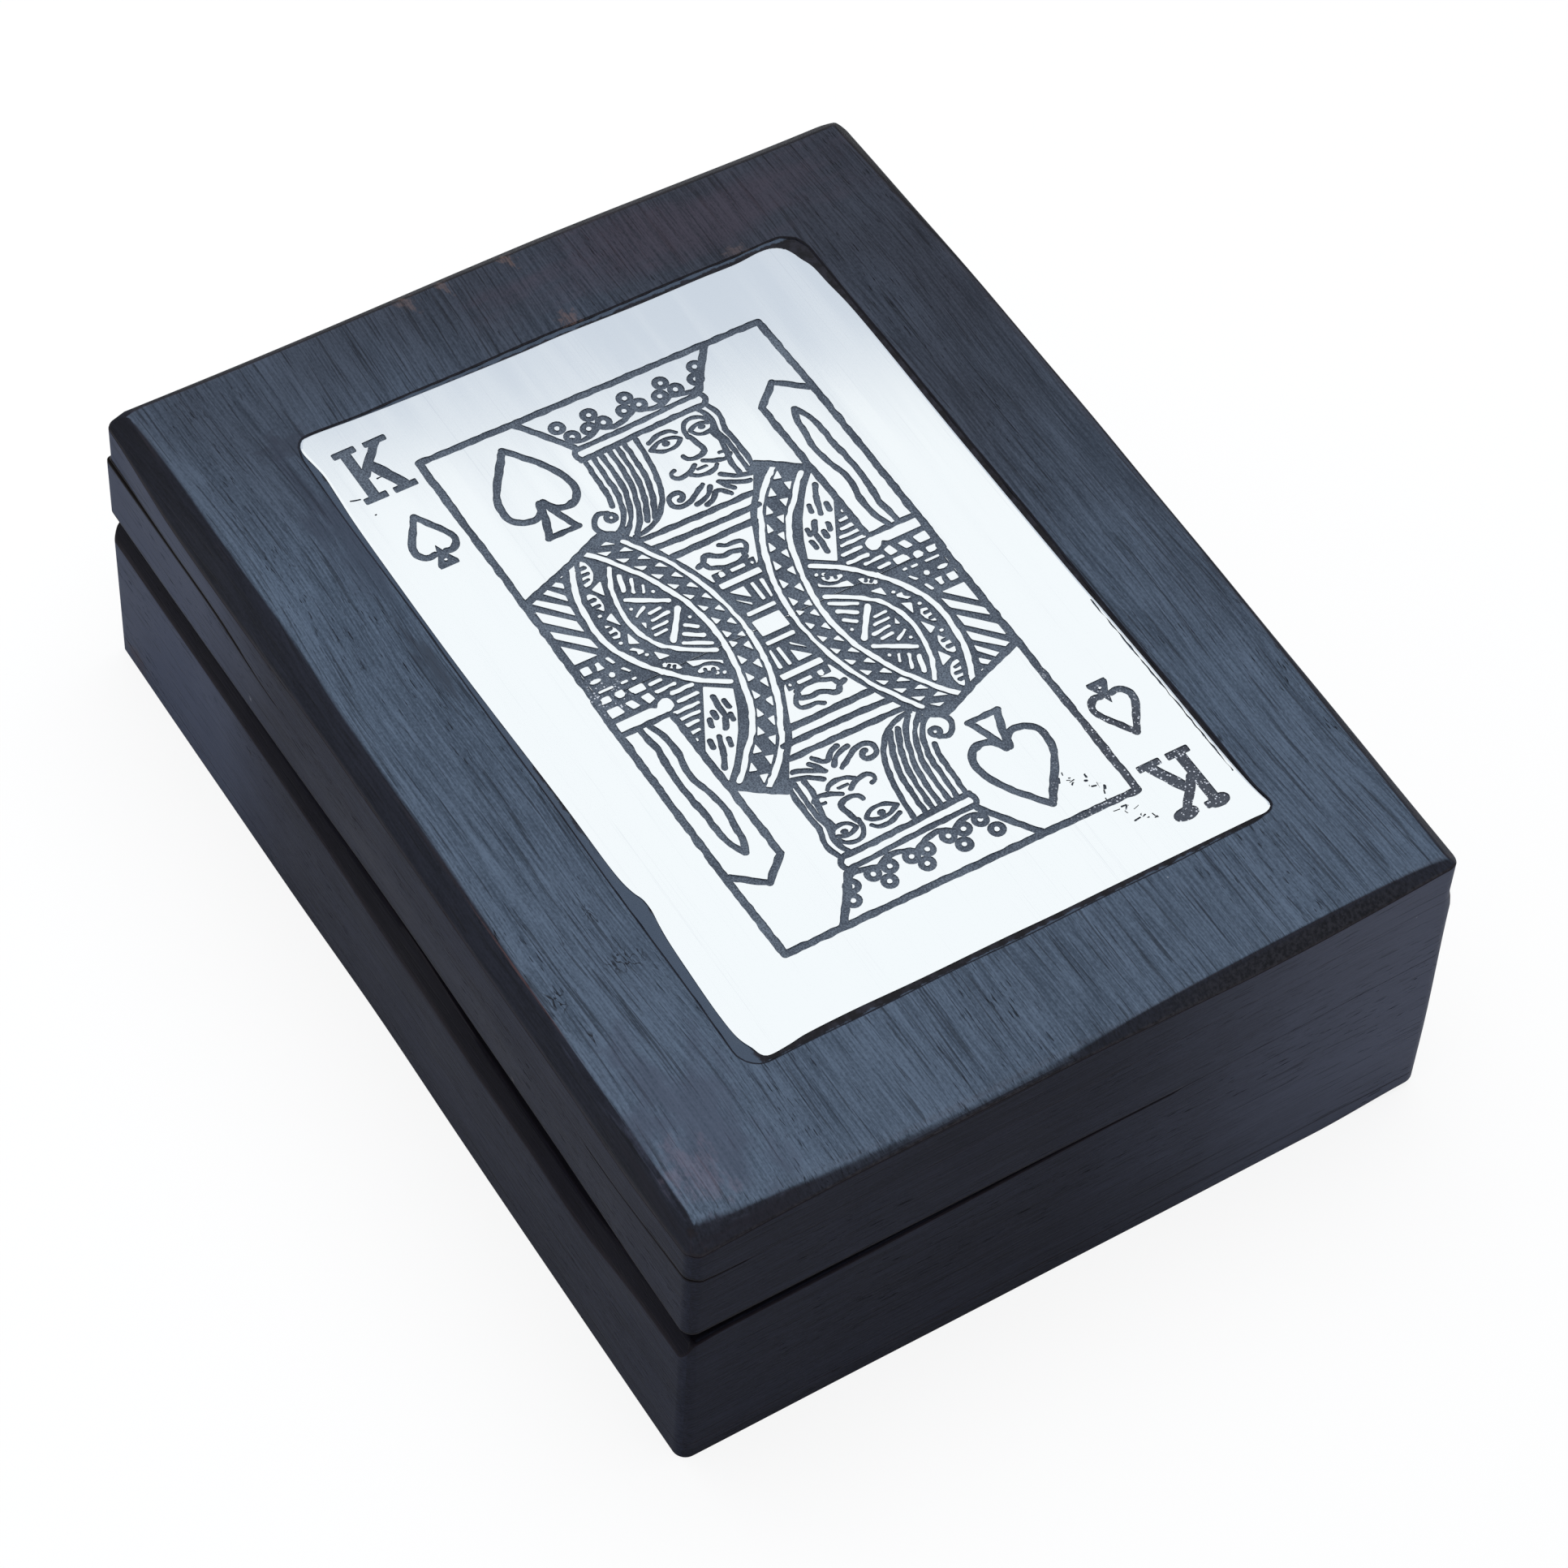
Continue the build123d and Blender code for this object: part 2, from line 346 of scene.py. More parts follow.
class Graph:
    """Short way of adding and joining the nodes of one tree."""

    def __init__(self, tree: bpy.types.NodeTree) -> None:
        """Start on a tree."""
        self.tree = tree

    def node(self, kind: str, inputs: dict | None = None, **settings: object) -> bpy.types.Node:
        """Add a shader node.

        Args:
            kind: Blender's name of the node's type, without its leading ShaderNode.
            inputs: Sockets to join, or values to set, by input name or number.
            **settings: Properties of the node.

        Returns:
            The new node.
        """
        made = self.tree.nodes.new(f"ShaderNode{kind}")
        for key, value in settings.items():
            setattr(made, key, value)
        self.feed(made.inputs, inputs or {})
        return made

    def feed(self, sockets: bpy.types.NodeInputs, values: dict) -> None:
        """Join input sockets to others, or set their values, by name or number.

        Args:
            sockets: Inputs of a node.
            values: What each is joined to or set to.
        """
        for key, value in values.items():
            if isinstance(value, Socket):
                self.tree.links.new(value, sockets[key])
            else:
                sockets[key].default_value = value

    def math(self, operation: str, a: object, b: object = 0.0, clamp: bool = False) -> Socket:
        """Number worked out from two others."""
        return self.node("Math", {0: a, 1: b}, operation=operation, use_clamp=clamp).outputs[0]

    def add(self, a: object, b: object) -> Socket:
        """Sum of two numbers."""
        return self.math("ADD", a, b)

    def times(self, a: object, b: object, clamp: bool = False) -> Socket:
        """Product of two numbers."""
        return self.math("MULTIPLY", a, b, clamp)

    def most(self, a: object, b: object) -> Socket:
        """Larger of two numbers."""
        return self.math("MAXIMUM", a, b)

    def step(
        self, value: object, low: float, high: float, to_low: float = 0, to_high: float = 1
    ) -> Socket:
        """Smooth step of a value between two limits."""
        limits = {"Value": value, "From Min": low, "From Max": high, "To Min": to_low, "To Max": to_high}
        return self.node("MapRange", limits, interpolation_type="SMOOTHSTEP").outputs["Result"]

    def mix(self, factor: object, a: object, b: object, blend: str = "MIX") -> Socket:
        """Colour between two others, which may be given as three display values."""
        a, b = (linear(*c) if isinstance(c, tuple) and len(c) == 3 else c for c in (a, b))
        return self.node("Mix", {0: factor, 6: a, 7: b}, data_type="RGBA", blend_type=blend).outputs[2]

    def vector(self, operation: str, *given: object) -> Socket:
        """Vector worked out from others."""
        return self.node("VectorMath", dict(enumerate(given)), operation=operation).outputs[0]

    def noise(
        self, place: Socket, scale: float | Triple, detail: float = 3.0, rough: float = 0.55,
        shift: Triple = (0, 0, 0), distortion: float = 0.0,
    ) -> Socket:
        """Noise value at a place.

        Args:
            place: Where the noise is read.
            scale: Waves per millimetre, the same in every direction or along each axis.
            detail: Number of finer layers.
            rough: How strong the finer layers are.
            shift: Moves the noise, so that two don't look alike.
            distortion: How much it is swirled.

        Returns:
            The noise value, around 0.5.
        """
        scale = scale if isinstance(scale, tuple) else (scale,) * 3
        inputs = {
            "Vector": self.vector("MULTIPLY_ADD", place, scale, shift),
            "Scale": 1,
            "Detail": detail,
            "Roughness": rough,
            "Distortion": distortion,
        }
        return self.node("TexNoise", inputs).outputs["Fac"]

    def bump(self, height: Socket, distance: float, strength: float) -> Socket:
        """Normal bent by a height, whose distance is in millimetres."""
        inputs = {"Height": height, "Distance": distance * MM, "Strength": strength}
        return self.node("Bump", inputs).outputs[0]

    def position(self) -> Socket:
        """Place on the piece in millimetres."""
        local = self.node("TexCoord").outputs["Object"]
        return self.vector("MULTIPLY_ADD", local, (1 / MM, 1 / MM, 1 / MM), (0, 0, 0))

    def parts(self, vector: Socket) -> bpy.types.NodeOutputs:
        """Coordinates of a vector."""
        return self.node("SeparateXYZ", {0: vector}).outputs

    def group(self, tree: bpy.types.NodeTree, **inputs: object) -> bpy.types.NodeOutputs:
        """Outputs of a node group placed with its own values.

        Args:
            tree: The group.
            **inputs: What each of its inputs is joined to or set to.

        Returns:
            Its output sockets.
        """
        made = self.node("Group", node_tree=tree)
        self.feed(made.inputs, inputs)
        return made.outputs

    def attribute(self, name: str) -> Socket:
        """Number stored on the mesh's points."""
        return self.node("Attribute", attribute_name=name).outputs["Fac"]


class Effects:
    """Shader node groups that several materials share, each built once."""

    def __init__(self) -> None:
        """Build every group."""
        self.fibre = self.build_fibre()
        self.wear = self.build_wear()
        self.specks = self.build_specks()
        self.scratches = self.build_scratches()
        self.mark = self.build_mark()

    @staticmethod
    def start(name: str, inputs: dict[str, float | None], *outputs: str) -> tuple:
        """Open a group with its sockets.

        Args:
            name: Name of the group.
            inputs: Default of each number, or None for a vector.
            *outputs: Names of the numbers that it puts out.

        Returns:
            The group, a graph on it, its input sockets and its output sockets.
        """
        tree = bpy.data.node_groups.new(name, "ShaderNodeTree")
        for key, default in inputs.items():
            kind = "NodeSocketVector" if default is None else "NodeSocketFloat"
            socket = tree.interface.new_socket(key, in_out="INPUT", socket_type=kind)
            if default is not None:
                socket.default_value = default
        for key in outputs:
            tree.interface.new_socket(key, in_out="OUTPUT", socket_type="NodeSocketFloat")
        given, out = (tree.nodes.new(f"NodeGroup{end}") for end in ("Input", "Output"))
        return tree, Graph(tree), given.outputs, out.inputs

    def build_fibre(self) -> bpy.types.NodeTree:
        """Wood grain along X: tone of the fibres, long dark lines, short open pores and height.

        Returns:
            The group.
        """
        tree, g, given, out = self.start("wood_fibre", {"Position": None}, "Tone", "Lines", "Pores", "Height")
        bend = g.noise(given["Position"], (0.018, 0.05, 0.05), 1)
        swerve = g.node("CombineXYZ", {"Y": g.times(bend, 5)}).outputs[0]
        place = g.vector("ADD", given["Position"], swerve)
        broad = g.noise(place, (0.012, 0.16, 0.16), 2)
        bands = g.noise(place, (0.035, 1.1, 1.1), 2, 0.5, (3, 0, 0))
        fine = g.noise(place, (0.16, 4.4, 4.4), 3, 0.65, (0, 7, 0))
        grit = g.noise(place, (2.6, 4.5, 4.5), 2, 0.6, (2, 2, 2))
        tone = g.add(g.times(broad, 0.16), g.times(bands, 0.16))
        tone = g.add(g.add(tone, g.times(fine, 0.44)), g.times(grit, 0.24))
        lines = g.step(g.noise(place, (0.1, 4, 4), 2, 0.4, (11, 0, 5)), 0.6, 0.67)
        dashes = g.noise(place, (0.45, 4.6, 4.6), 2, 0.5, (0, 0, 9))
        patches = g.step(g.noise(place, (0.03, 0.12, 0.12), 2, shift=(5, 5, 0)), 0.42, 0.66)
        pores = g.times(g.step(dashes, 0.63, 0.71), patches, clamp=True)
        height = g.math("SUBTRACT", g.times(fine, 0.5), g.times(lines, 0.35))
        height = g.math("SUBTRACT", height, g.times(pores, 0.9))
        g.feed(out, {"Tone": tone, "Lines": lines, "Pores": pores, "Height": height})
        return tree

    def build_wear(self) -> bpy.types.NodeTree:
        """Patchy rubbing along arrises.

        Returns:
            The group.
        """
        tree, g, given, out = self.start("arris_wear", {"Position": None, "Arris": 0, "Amount": 0.5}, "Mask")
        rough = g.noise(given["Position"], 0.9, 4, 0.65)
        long = g.noise(given["Position"], 0.06, 2, shift=(8, 1, 4))
        edge = g.add(g.times(given["Arris"], 0.9), g.times(rough, 0.45))
        edge = g.step(g.add(edge, g.times(long, 0.5)), 1, 1.5)
        g.feed(out, {"Mask": g.times(edge, given["Amount"], clamp=True)})
        return tree

    def build_specks(self) -> bpy.types.NodeTree:
        """Few small round specks, such as dust or pits.

        Returns:
            The group.
        """
        inputs = {"Position": None, "Spacing": 4, "Radius": 0.05, "Share": 0.3}
        tree, g, given, out = self.start("specks", inputs, "Mask")
        per = g.math("DIVIDE", 1, given["Spacing"])
        scaled = g.node("VectorMath", {0: given["Position"], "Scale": per}, operation="SCALE").outputs[0]
        cell = g.node("TexVoronoi", {"Vector": scaled, "Scale": 1, "Randomness": 1}).outputs
        distance = g.times(cell["Distance"], given["Spacing"])
        draw = g.node("SeparateColor", {0: cell["Color"]}).outputs
        radius = g.times(given["Radius"], g.add(draw[1], 0.4))
        near = g.math("SUBTRACT", 1, g.math("DIVIDE", distance, radius), clamp=True)
        chosen = g.math("LESS_THAN", draw[0], given["Share"])
        g.feed(out, {"Mask": g.times(g.step(near, 0, 0.4), chosen)})
        return tree

    def build_scratches(self) -> bpy.types.NodeTree:
        """Fine straight scratches along X, in bundles.

        Returns:
            The group.
        """
        tree, g, given, out = self.start("scratches", {"Position": None, "Density": 1}, "Lines", "Bundles")
        lines = g.noise(given["Position"], (0.05, 5.5, 1), 4, 0.7)
        bundles = g.noise(given["Position"], (0.02, 0.32, 1), 2, shift=(2, 9, 0))
        g.feed(out, {"Lines": lines, "Bundles": g.times(g.step(bundles, 0.35, 0.7), given["Density"])})
        return tree

    def build_mark(self) -> bpy.types.NodeTree:
        """One ragged mark at a place, such as a chip, a smudge or a rubbed spot.

        Returns:
            The group.
        """
        inputs = {"Position": None, "Centre": None, "Reach": None, "Ragged": 0.5}
        tree, g, given, out = self.start("mark", inputs, "Mask", "Curls")
        scaled = g.vector("DIVIDE", g.vector("SUBTRACT", given["Position"], given["Centre"]), given["Reach"])
        far = g.node("VectorMath", {0: scaled}, operation="LENGTH").outputs["Value"]
        rough = g.math("SUBTRACT", g.noise(scaled, 1.7, 3, 0.6), 0.5)
        mask = g.step(g.add(far, g.times(rough, g.times(given["Ragged"], 2))), 1, 0.3)
        worm = g.noise(given["Position"], (0.5, 1.1, 1.1), 1, 0.5, distortion=1.2)
        thin = g.step(g.math("ABSOLUTE", g.math("SUBTRACT", worm, 0.5)), 0.05, 0.02)
        g.feed(out, {"Mask": mask, "Curls": g.times(thin, mask)})
        return tree


def new_material(name: str) -> tuple[Material, Graph, bpy.types.NodeInputs]:
    """Material with its graph and the inputs of its Principled BSDF.

    Args:
        name: Name of the material.

    Returns:
        The material, its graph and the inputs.
    """
    material = bpy.data.materials.new(name)
    material.use_nodes = True
    nodes = material.node_tree.nodes
    return material, Graph(material.node_tree), nodes["Principled BSDF"].inputs


# Finishes ------------------------------------------------------------------------------------


class Finish:
    """Surface finish that becomes one material."""

    name: str

    def paint(self, g: Graph, place: Socket, effects: Effects) -> dict[str, object]:
        """Add the finish's nodes.

        Args:
            g: Graph of the material.
            place: Place on the piece in millimetres.
            effects: Shared node groups.

        Returns:
            What each input of the Principled BSDF is joined to or set to.
        """
        raise NotImplementedError

    def make(self, effects: Effects) -> Material:
        """Build the material from the shared effects.

        Args:
            effects: Shared node groups.

        Returns:
            The material.
        """
        material, g, shader = new_material(self.name)
        g.feed(shader, self.paint(g, g.position(), effects))
        return material


class Grain(Enum):
    """Which way the fibres of a piece run."""

    ALONG_X = "x"
    ALONG_Y = "y"


@dataclass(frozen=True)
class Mark:
    """One mark on stained wood, at a place that was seen on the box."""

    centre: Triple
    reach: Triple
    colour: Triple
    strength: float = 0.8
    ragged: float = 0.5
    curly: bool = False


@dataclass(frozen=True)
class StainedWood(Finish):
    """Black stained wood with a satin finish that leaves the grain open."""

    name: str
    grain: Grain
    deep: Triple
    pale: Triple
    # Painted shade: colour that darkens the far left corner.
    far_shade: Triple
    end_colour: Triple
    # Painted shade: colour that darkens the slanting bevel faces.
    bevel_shade: Triple
    line_depth: float
    specular: float
    roughness: float
    marks: tuple[Mark, ...]
    # Painted light: paler colour towards one end, and where along the grain it starts and where it is full.
    painted_light_colour: Triple = (58, 65, 84)
    painted_light_from: float = 90
    painted_light_to: float = 100
    end_share: float = 0
    worn: Triple = (60, 50, 52)
    pore: Triple = (12, 13, 17)
    # Dark colour of open glue seams, also used as painted shade in the gap under the lid.
    glue: Triple = (17, 13, 12)
    dust: Triple = (150, 155, 165)
    wear: float = 0.15

    def paint(self, g: Graph, place: Socket, effects: Effects) -> dict[str, object]:
        """Grain, end grain, marks, worn arrises, dark joints and dust, and painted light and shade: a paler
        lit end, a darker far corner, darker bevels and the shade in the gap under the lid.

        Args:
            g: Graph of the material.
            place: Place on the piece in millimetres.
            effects: Shared node groups.

        Returns:
            What each input of the Principled BSDF is joined to or set to.
        """
        across = g.parts(place)
        along = place
        if self.grain is Grain.ALONG_Y:
            along = g.node("CombineXYZ", {0: across[1], 1: across[0], 2: across[2]}).outputs[0]
        fibre = g.group(effects.fibre, Position=along)
        normal = g.parts(g.node("TexCoord").outputs["Normal"])
        axis = normal[0] if self.grain is Grain.ALONG_X else normal[1]
        end_grain = g.times(g.step(g.math("ABSOLUTE", axis), 0.35, 0.6), self.end_share)
        # Slanting faces are the bevels: they are painted darker as painted shade, and kept out of the painted
        # light at the end.
        slanting = g.times(g.step(normal[2], 0.985, 0.95), g.step(normal[2], 0.1, 0.2))
        cloud = g.noise(place, (0.08, 0.1, 0.1))
        # Painted light: paler towards one end along the grain, where more light falls, but not on the bevels.
        reach = g.add(g.parts(along)[0], g.times(g.math("SUBTRACT", cloud, 0.5), 14))
        painted_light_mask = g.times(g.step(reach, self.painted_light_from, self.painted_light_to), g.math("SUBTRACT", 1, slanting))
        painted_light_mask = g.times(painted_light_mask, g.add(fibre["Tone"], 0.45), clamp=True)
        # Painted shade: darker towards the far left corner, where less light falls.
        drift = g.noise(place, (0.03, 0.05, 0.03), 2)
        far = g.add(g.times(across[0], -0.012), g.times(across[1], 0.009))
        far = g.step(g.add(far, g.times(drift, 0.8)), 0.25, 1.35)
        pebble = g.noise(place, 2.3, 3, 0.6)
        colour = g.mix(g.step(fibre["Tone"], 0.36, 0.64), self.deep, self.pale)
        colour = g.mix(painted_light_mask, colour, self.painted_light_colour)
        colour = g.mix(far, colour, self.far_shade, "MULTIPLY")
        colour = g.mix(slanting, colour, self.bevel_shade, "MULTIPLY")
        colour = g.mix(g.times(fibre["Lines"], self.line_depth), colour, self.pore)
        colour = g.mix(g.times(fibre["Pores"], 0.85), colour, self.pore)
        colour = g.mix(end_grain, colour, g.mix(g.step(pebble, 0.35, 0.65), self.pore, self.end_colour))
        colour = self.add_marks(g, colour, place, effects, g.step(fibre["Tone"], 0.36, 0.56, 0.15, 1))
        worn = g.group(effects.wear, Position=place, Arris=g.attribute("arris"), Amount=self.wear)["Mask"]
        colour = g.mix(worn, colour, self.worn)
        # Dark for open glue seams, and painted shade on the lid's underside and the base's rim in the gap
        # between them.
        colour = g.mix(g.times(g.attribute("joint"), 0.92), colour, self.glue)
        dust = g.group(effects.specks, Position=place, Spacing=9, Radius=0.09, Share=0.3)["Mask"]
        rough = g.add(self.roughness - 0.08, g.times(cloud, 0.16))
        rough = g.add(rough, g.times(fibre["Pores"], 0.25))
        height = g.add(fibre["Height"], g.times(g.times(pebble, end_grain), 1.2))
        return {
            "Base Color": g.mix(g.times(dust, 0.35), colour, self.dust),
            "Roughness": g.add(rough, g.times(end_grain, 0.12)),
            "Specular IOR Level": self.specular,
            "Normal": g.bump(height, 0.05, 0.9),
        }

    def add_marks(self, g: Graph, colour: Socket, place: Socket, effects: Effects, streaks: Socket) -> Socket:
        """Colour with every mark on it, each broken up by the streaks of the grain.

        Args:
            g: Graph of the material.
            colour: Colour without marks.
            place: Place on the piece in millimetres.
            effects: Shared node groups.
            streaks: Where the grain lets a mark show.

        Returns:
            The marked colour.
        """
        for mark in self.marks:
            where = {"Position": place, "Centre": mark.centre, "Reach": mark.reach, "Ragged": mark.ragged}
            found = g.group(effects.mark, **where)
            mask = found["Curls"] if mark.curly else g.times(found["Mask"], streaks)
            colour = g.mix(g.times(mask, mark.strength), colour, mark.colour)
        return colour


@dataclass(frozen=True)
class PolishedPlate(Finish):
    """Bright sheet metal, polished along the card with fine scratches."""

    name: str = "polished_plate"
    metal: Triple = (244, 250, 253)
    tarnish: Triple = (196, 203, 214)
    pit: Triple = (70, 74, 84)
    roughness: float = 0.055

    def paint(self, g: Graph, place: Socket, effects: Effects) -> dict[str, object]:
        """Two directions of scratches and a few pits.

        Args:
            g: Graph of the material.
            place: Place on the piece in millimetres.
            effects: Shared node groups.

        Returns:
            What each input of the Principled BSDF is joined to or set to.
        """
        scratch = g.group(effects.scratches, Position=place, Density=1)
        turned = g.node("VectorRotate", {"Vector": place, "Angle": math.radians(62)}).outputs[0]
        second = g.group(effects.scratches, Position=turned, Density=0.5)
        tone = g.times(g.times(g.step(scratch["Lines"], 0.56, 0.78), scratch["Bundles"]), 0.5)
        single = g.times(g.step(second["Lines"], 0.7, 0.78), second["Bundles"])
        colour = g.mix(g.add(tone, g.times(single, 0.35)), self.metal, self.tarnish)
        pits = g.group(effects.specks, Position=place, Spacing=6, Radius=0.08, Share=0.25)["Mask"]
        height = g.add(scratch["Lines"], g.times(second["Lines"], 0.3))
        return {
            "Base Color": g.mix(g.times(pits, 0.5), colour, self.pit),
            "Metallic": 1.0,
            "Roughness": g.add(self.roughness, g.times(scratch["Bundles"], 0.04)),
            "Normal": g.bump(height, 0.0015, 0.5),
        }


@dataclass(frozen=True)
class EtchedGround(Finish):
    """Etched hollows of the plate, blackened and grainy, with painted glints of bare metal at two places."""

    name: str = "etched_ground"
    dark: Triple = (52, 59, 70)
    light: Triple = (104, 114, 126)
    bare_dark: Triple = (46, 46, 52)
    glint: Triple = (196, 200, 208)
    roughness: float = 0.6
    bare_centre: Triple = (37, 25, 39.3)
    bare_reach: Triple = (22, 13, 22)
    cuff_centre: Triple = (-1, -18.5, 39.3)
    cuff_reach: Triple = (4, 3, 4)

    def paint(self, g: Graph, place: Socket, effects: Effects) -> dict[str, object]:
        """Grainy black, with bare metal painted as bright glints where it is bare.

        Args:
            g: Graph of the material.
            place: Place on the piece in millimetres.
            effects: Shared node groups.

        Returns:
            What each input of the Principled BSDF is joined to or set to.
        """
        grain = g.noise(place, 5.5, 3, 0.65)
        patch = g.noise(place, 0.22, 2, shift=(4, 4, 4))
        colour = g.mix(g.step(g.add(grain, g.times(patch, 0.35)), 0.5, 0.95), self.dark, self.light)
        # Painted glints: specks of bare metal given a fixed bright colour, partly the metal's own and partly
        # a painted reflection.
        painted_glints = g.group(effects.specks, Position=place, Spacing=0.26, Radius=0.1, Share=0.55)["Mask"]
        bare, cuff = (
            g.group(effects.mark, Position=place, Centre=centre, Reach=reach, Ragged=0.5)["Mask"]
            for centre, reach in ((self.bare_centre, self.bare_reach), (self.cuff_centre, self.cuff_reach))
        )
        colour = g.mix(g.times(bare, 0.6), colour, self.bare_dark)
        return {
            "Base Color": g.mix(g.times(painted_glints, g.most(bare, cuff)), colour, self.glint),
            "Roughness": self.roughness,
            "Specular IOR Level": 0.3,
            "Normal": g.bump(grain, 0.06, 0.8),
        }


@dataclass(frozen=True)
class BlackFiller(Finish):
    """Black filler pressed round the plate, smeared with stain beyond a thin line."""

    name: str = "black_filler"
    black: Triple = (16, 16, 20)
    dull: Triple = (36, 36, 43)
    stained: Triple = (64, 75, 90)
    glue: Triple = (215, 219, 224)
    stained_front: float = -29.6
    stained_notch: float = -28.3
    stained_left: float = -45.95
    stained_right: float = 44.95

    def paint(self, g: Graph, place: Socket, effects: Effects) -> dict[str, object]:
        """Lumpy black, stain on three sides and specks of glue.

        Args:
            g: Graph of the material.
            place: Place on the piece in millimetres.
            effects: Shared node groups.

        Returns:
            What each input of the Principled BSDF is joined to or set to.
        """
        lumps = g.noise(place, 0.9, 4, 0.6)
        side = g.parts(place)
        jitter = g.times(g.math("SUBTRACT", lumps, 0.5), 1.2)
        x, y = g.add(side[0], jitter), g.add(side[1], jitter)
        beyond = g.step(y, self.stained_front + 0.15, self.stained_front - 0.15)
        notch = g.step(y, self.stained_notch, self.stained_notch - 0.3)
        beyond = g.most(beyond, g.times(notch, g.step(side[0], 10, 17)))
        left = g.step(x, self.stained_left + 0.1, self.stained_left - 0.1)
        right = g.step(x, self.stained_right - 0.1, self.stained_right + 0.1)
        stained = g.times(g.most(beyond, g.most(left, right)), 0.9)
        colour = g.mix(g.step(lumps, 0.4, 0.7), self.black, self.dull)
        glue = g.group(effects.specks, Position=place, Spacing=3.2, Radius=0.28, Share=0.3)["Mask"]
        return {
            "Base Color": g.mix(g.times(glue, 0.75), g.mix(stained, colour, self.stained), self.glue),
            "Roughness": g.step(lumps, 0.3, 0.7, 0.35, 0.65),
            "Specular IOR Level": 0.15,
            "Normal": g.bump(lumps, 0.15, 0.9),
        }


@dataclass(frozen=True)
class Brass(Finish):
    """Satin brass, slightly darkened, with short scratches."""

    name: str
    metal: Triple
    aged: Triple
    roughness: float = 0.3

    def paint(self, g: Graph, place: Socket, effects: Effects) -> dict[str, object]:
        """Patches of patina and scratches.

        Args:
            g: Graph of the material.
            place: Place on the piece in millimetres.
            effects: Shared node groups.

        Returns:
            What each input of the Principled BSDF is joined to or set to.
        """
        patina = g.noise(place, 0.5, 4, 0.6)
        scratch = g.group(effects.scratches, Position=place, Density=1)["Lines"]
        return {
            "Base Color": g.mix(g.step(patina, 0.4, 0.7), self.metal, self.aged),
            "Metallic": 1.0,
            "Roughness": g.add(self.roughness, g.times(scratch, 0.2)),
            "Normal": g.bump(scratch, 0.01, 0.6),
        }


@dataclass(frozen=True)
class Felt(Finish):
    """Short wool pile, pressed flat in places."""

    name: str = "green_felt"
    pile: Triple = (34, 78, 56)
    shade: Triple = (18, 46, 33)
    lint: Triple = (120, 140, 130)

    def paint(self, g: Graph, place: Socket, effects: Effects) -> dict[str, object]:
        """Woolly noise with a soft sheen and bits of lint.

        Args:
            g: Graph of the material.
            place: Place on the piece in millimetres.
            effects: Shared node groups.

        Returns:
            What each input of the Principled BSDF is joined to or set to.
        """
        wool = g.noise(place, 6.0, 5, 0.75, distortion=1.5)
        nap = g.noise(place, 0.12, 2, shift=(1, 2, 3))
        tone = g.step(g.add(g.times(wool, 0.7), g.times(nap, 0.4)), 0.35, 0.75)
        lint = g.group(effects.specks, Position=place, Spacing=5, Radius=0.1, Share=0.3)["Mask"]
        return {
            "Base Color": g.mix(g.times(lint, 0.4), g.mix(tone, self.shade, self.pile), self.lint),
            "Roughness": 0.95,
            "Specular IOR Level": 0.1,
            "Sheen Weight": 0.35,
            "Sheen Roughness": 0.5,
            "Normal": g.bump(wool, 0.25, 0.9),
        }


# Wooden box ----------------------------------------------------------------------------------


class Side(Enum):
    """Side of the box, by quarter turns from the front."""

    FRONT = 0
    RIGHT = 1
    BACK = 2
    LEFT = 3

    def turn(self, points: Array) -> Array:
        """Turn plan points from the front side to this one."""
        x, y = points[..., 0], points[..., 1]
        return np.stack([(x, y), (-y, x), (-x, -y), (y, -x)][self.value], -1)


@dataclass
class Plan:
    """Plan of the box: a rounded rectangle outside and a square-cornered one inside."""

    half_length: float
    half_width: float
    inner_half_length: float
    inner_half_width: float
    corner_radii: tuple[float, ...] = (0.6, 1.5, 1.8, 2.8)
    deep_radius: float = 0.7
    deep_inset: float = 2.1
    arc_steps: int = 7
    spacing: float = 1.5

    def stations(self, side: Side, inset: float = 0) -> tuple[Array, Array, Array]:
        """Places along one side, from the middle of one corner to the middle of the next.

        Args:
            side: Side of the box.
            inset: How far the places lie inside the outline.

        Returns:
            Outer points, inner points and unit normals that point outward, all in plan.
        """
        lengthways = side in (Side.FRONT, Side.BACK)
        halves = [(self.half_length, self.inner_half_length), (self.half_width, self.inner_half_width)]
        (half, inner_half), (depth, inner_depth) = halves if lengthways else halves[::-1]
        ends = [self.corner_radii[(side.value + k) % 4] for k in (0, 1)]
        count = int(2 * (half - sum(ends) / 2) / self.spacing)
        straight = np.linspace(ends[0] - half, half - ends[1], count)
        along = np.unique(np.concatenate([straight, [-inner_half, inner_half]]))
        share = inset / self.deep_inset
        radii = [radius + (self.deep_radius - radius) * share for radius in ends]
        stops = (inset + radii[0] - half, -inner_half, inner_half, half - inset - radii[1])
        moved = np.interp(along, (straight[0], -inner_half, inner_half, straight[-1]), stops)
        turn = np.linspace(math.pi / 4, 0, self.arc_steps, endpoint=False)
        arcs = []
        for radius, hand in zip(radii, (-1, 1)):
            across = half - inset - radius + radius * np.sin(turn)
            arcs.append(np.stack([hand * across, inset + radius - depth - radius * np.cos(turn)], 1))
        wall = np.stack([moved, np.full_like(moved, inset - depth)], 1)
        outer = np.vstack([arcs[0], wall, arcs[1][::-1]])
        slant = np.stack([-np.sin(turn), -np.cos(turn)], 1)
        normals = np.vstack([slant, np.tile([0, -1], (len(along), 1)), slant[::-1] * [-1, 1]])
        clipped = np.clip(outer[:, 0], -inner_half, inner_half)
        inner = np.stack([clipped, np.full(len(outer), -inner_depth)], 1)
        return side.turn(outer), side.turn(inner), side.turn(normals)


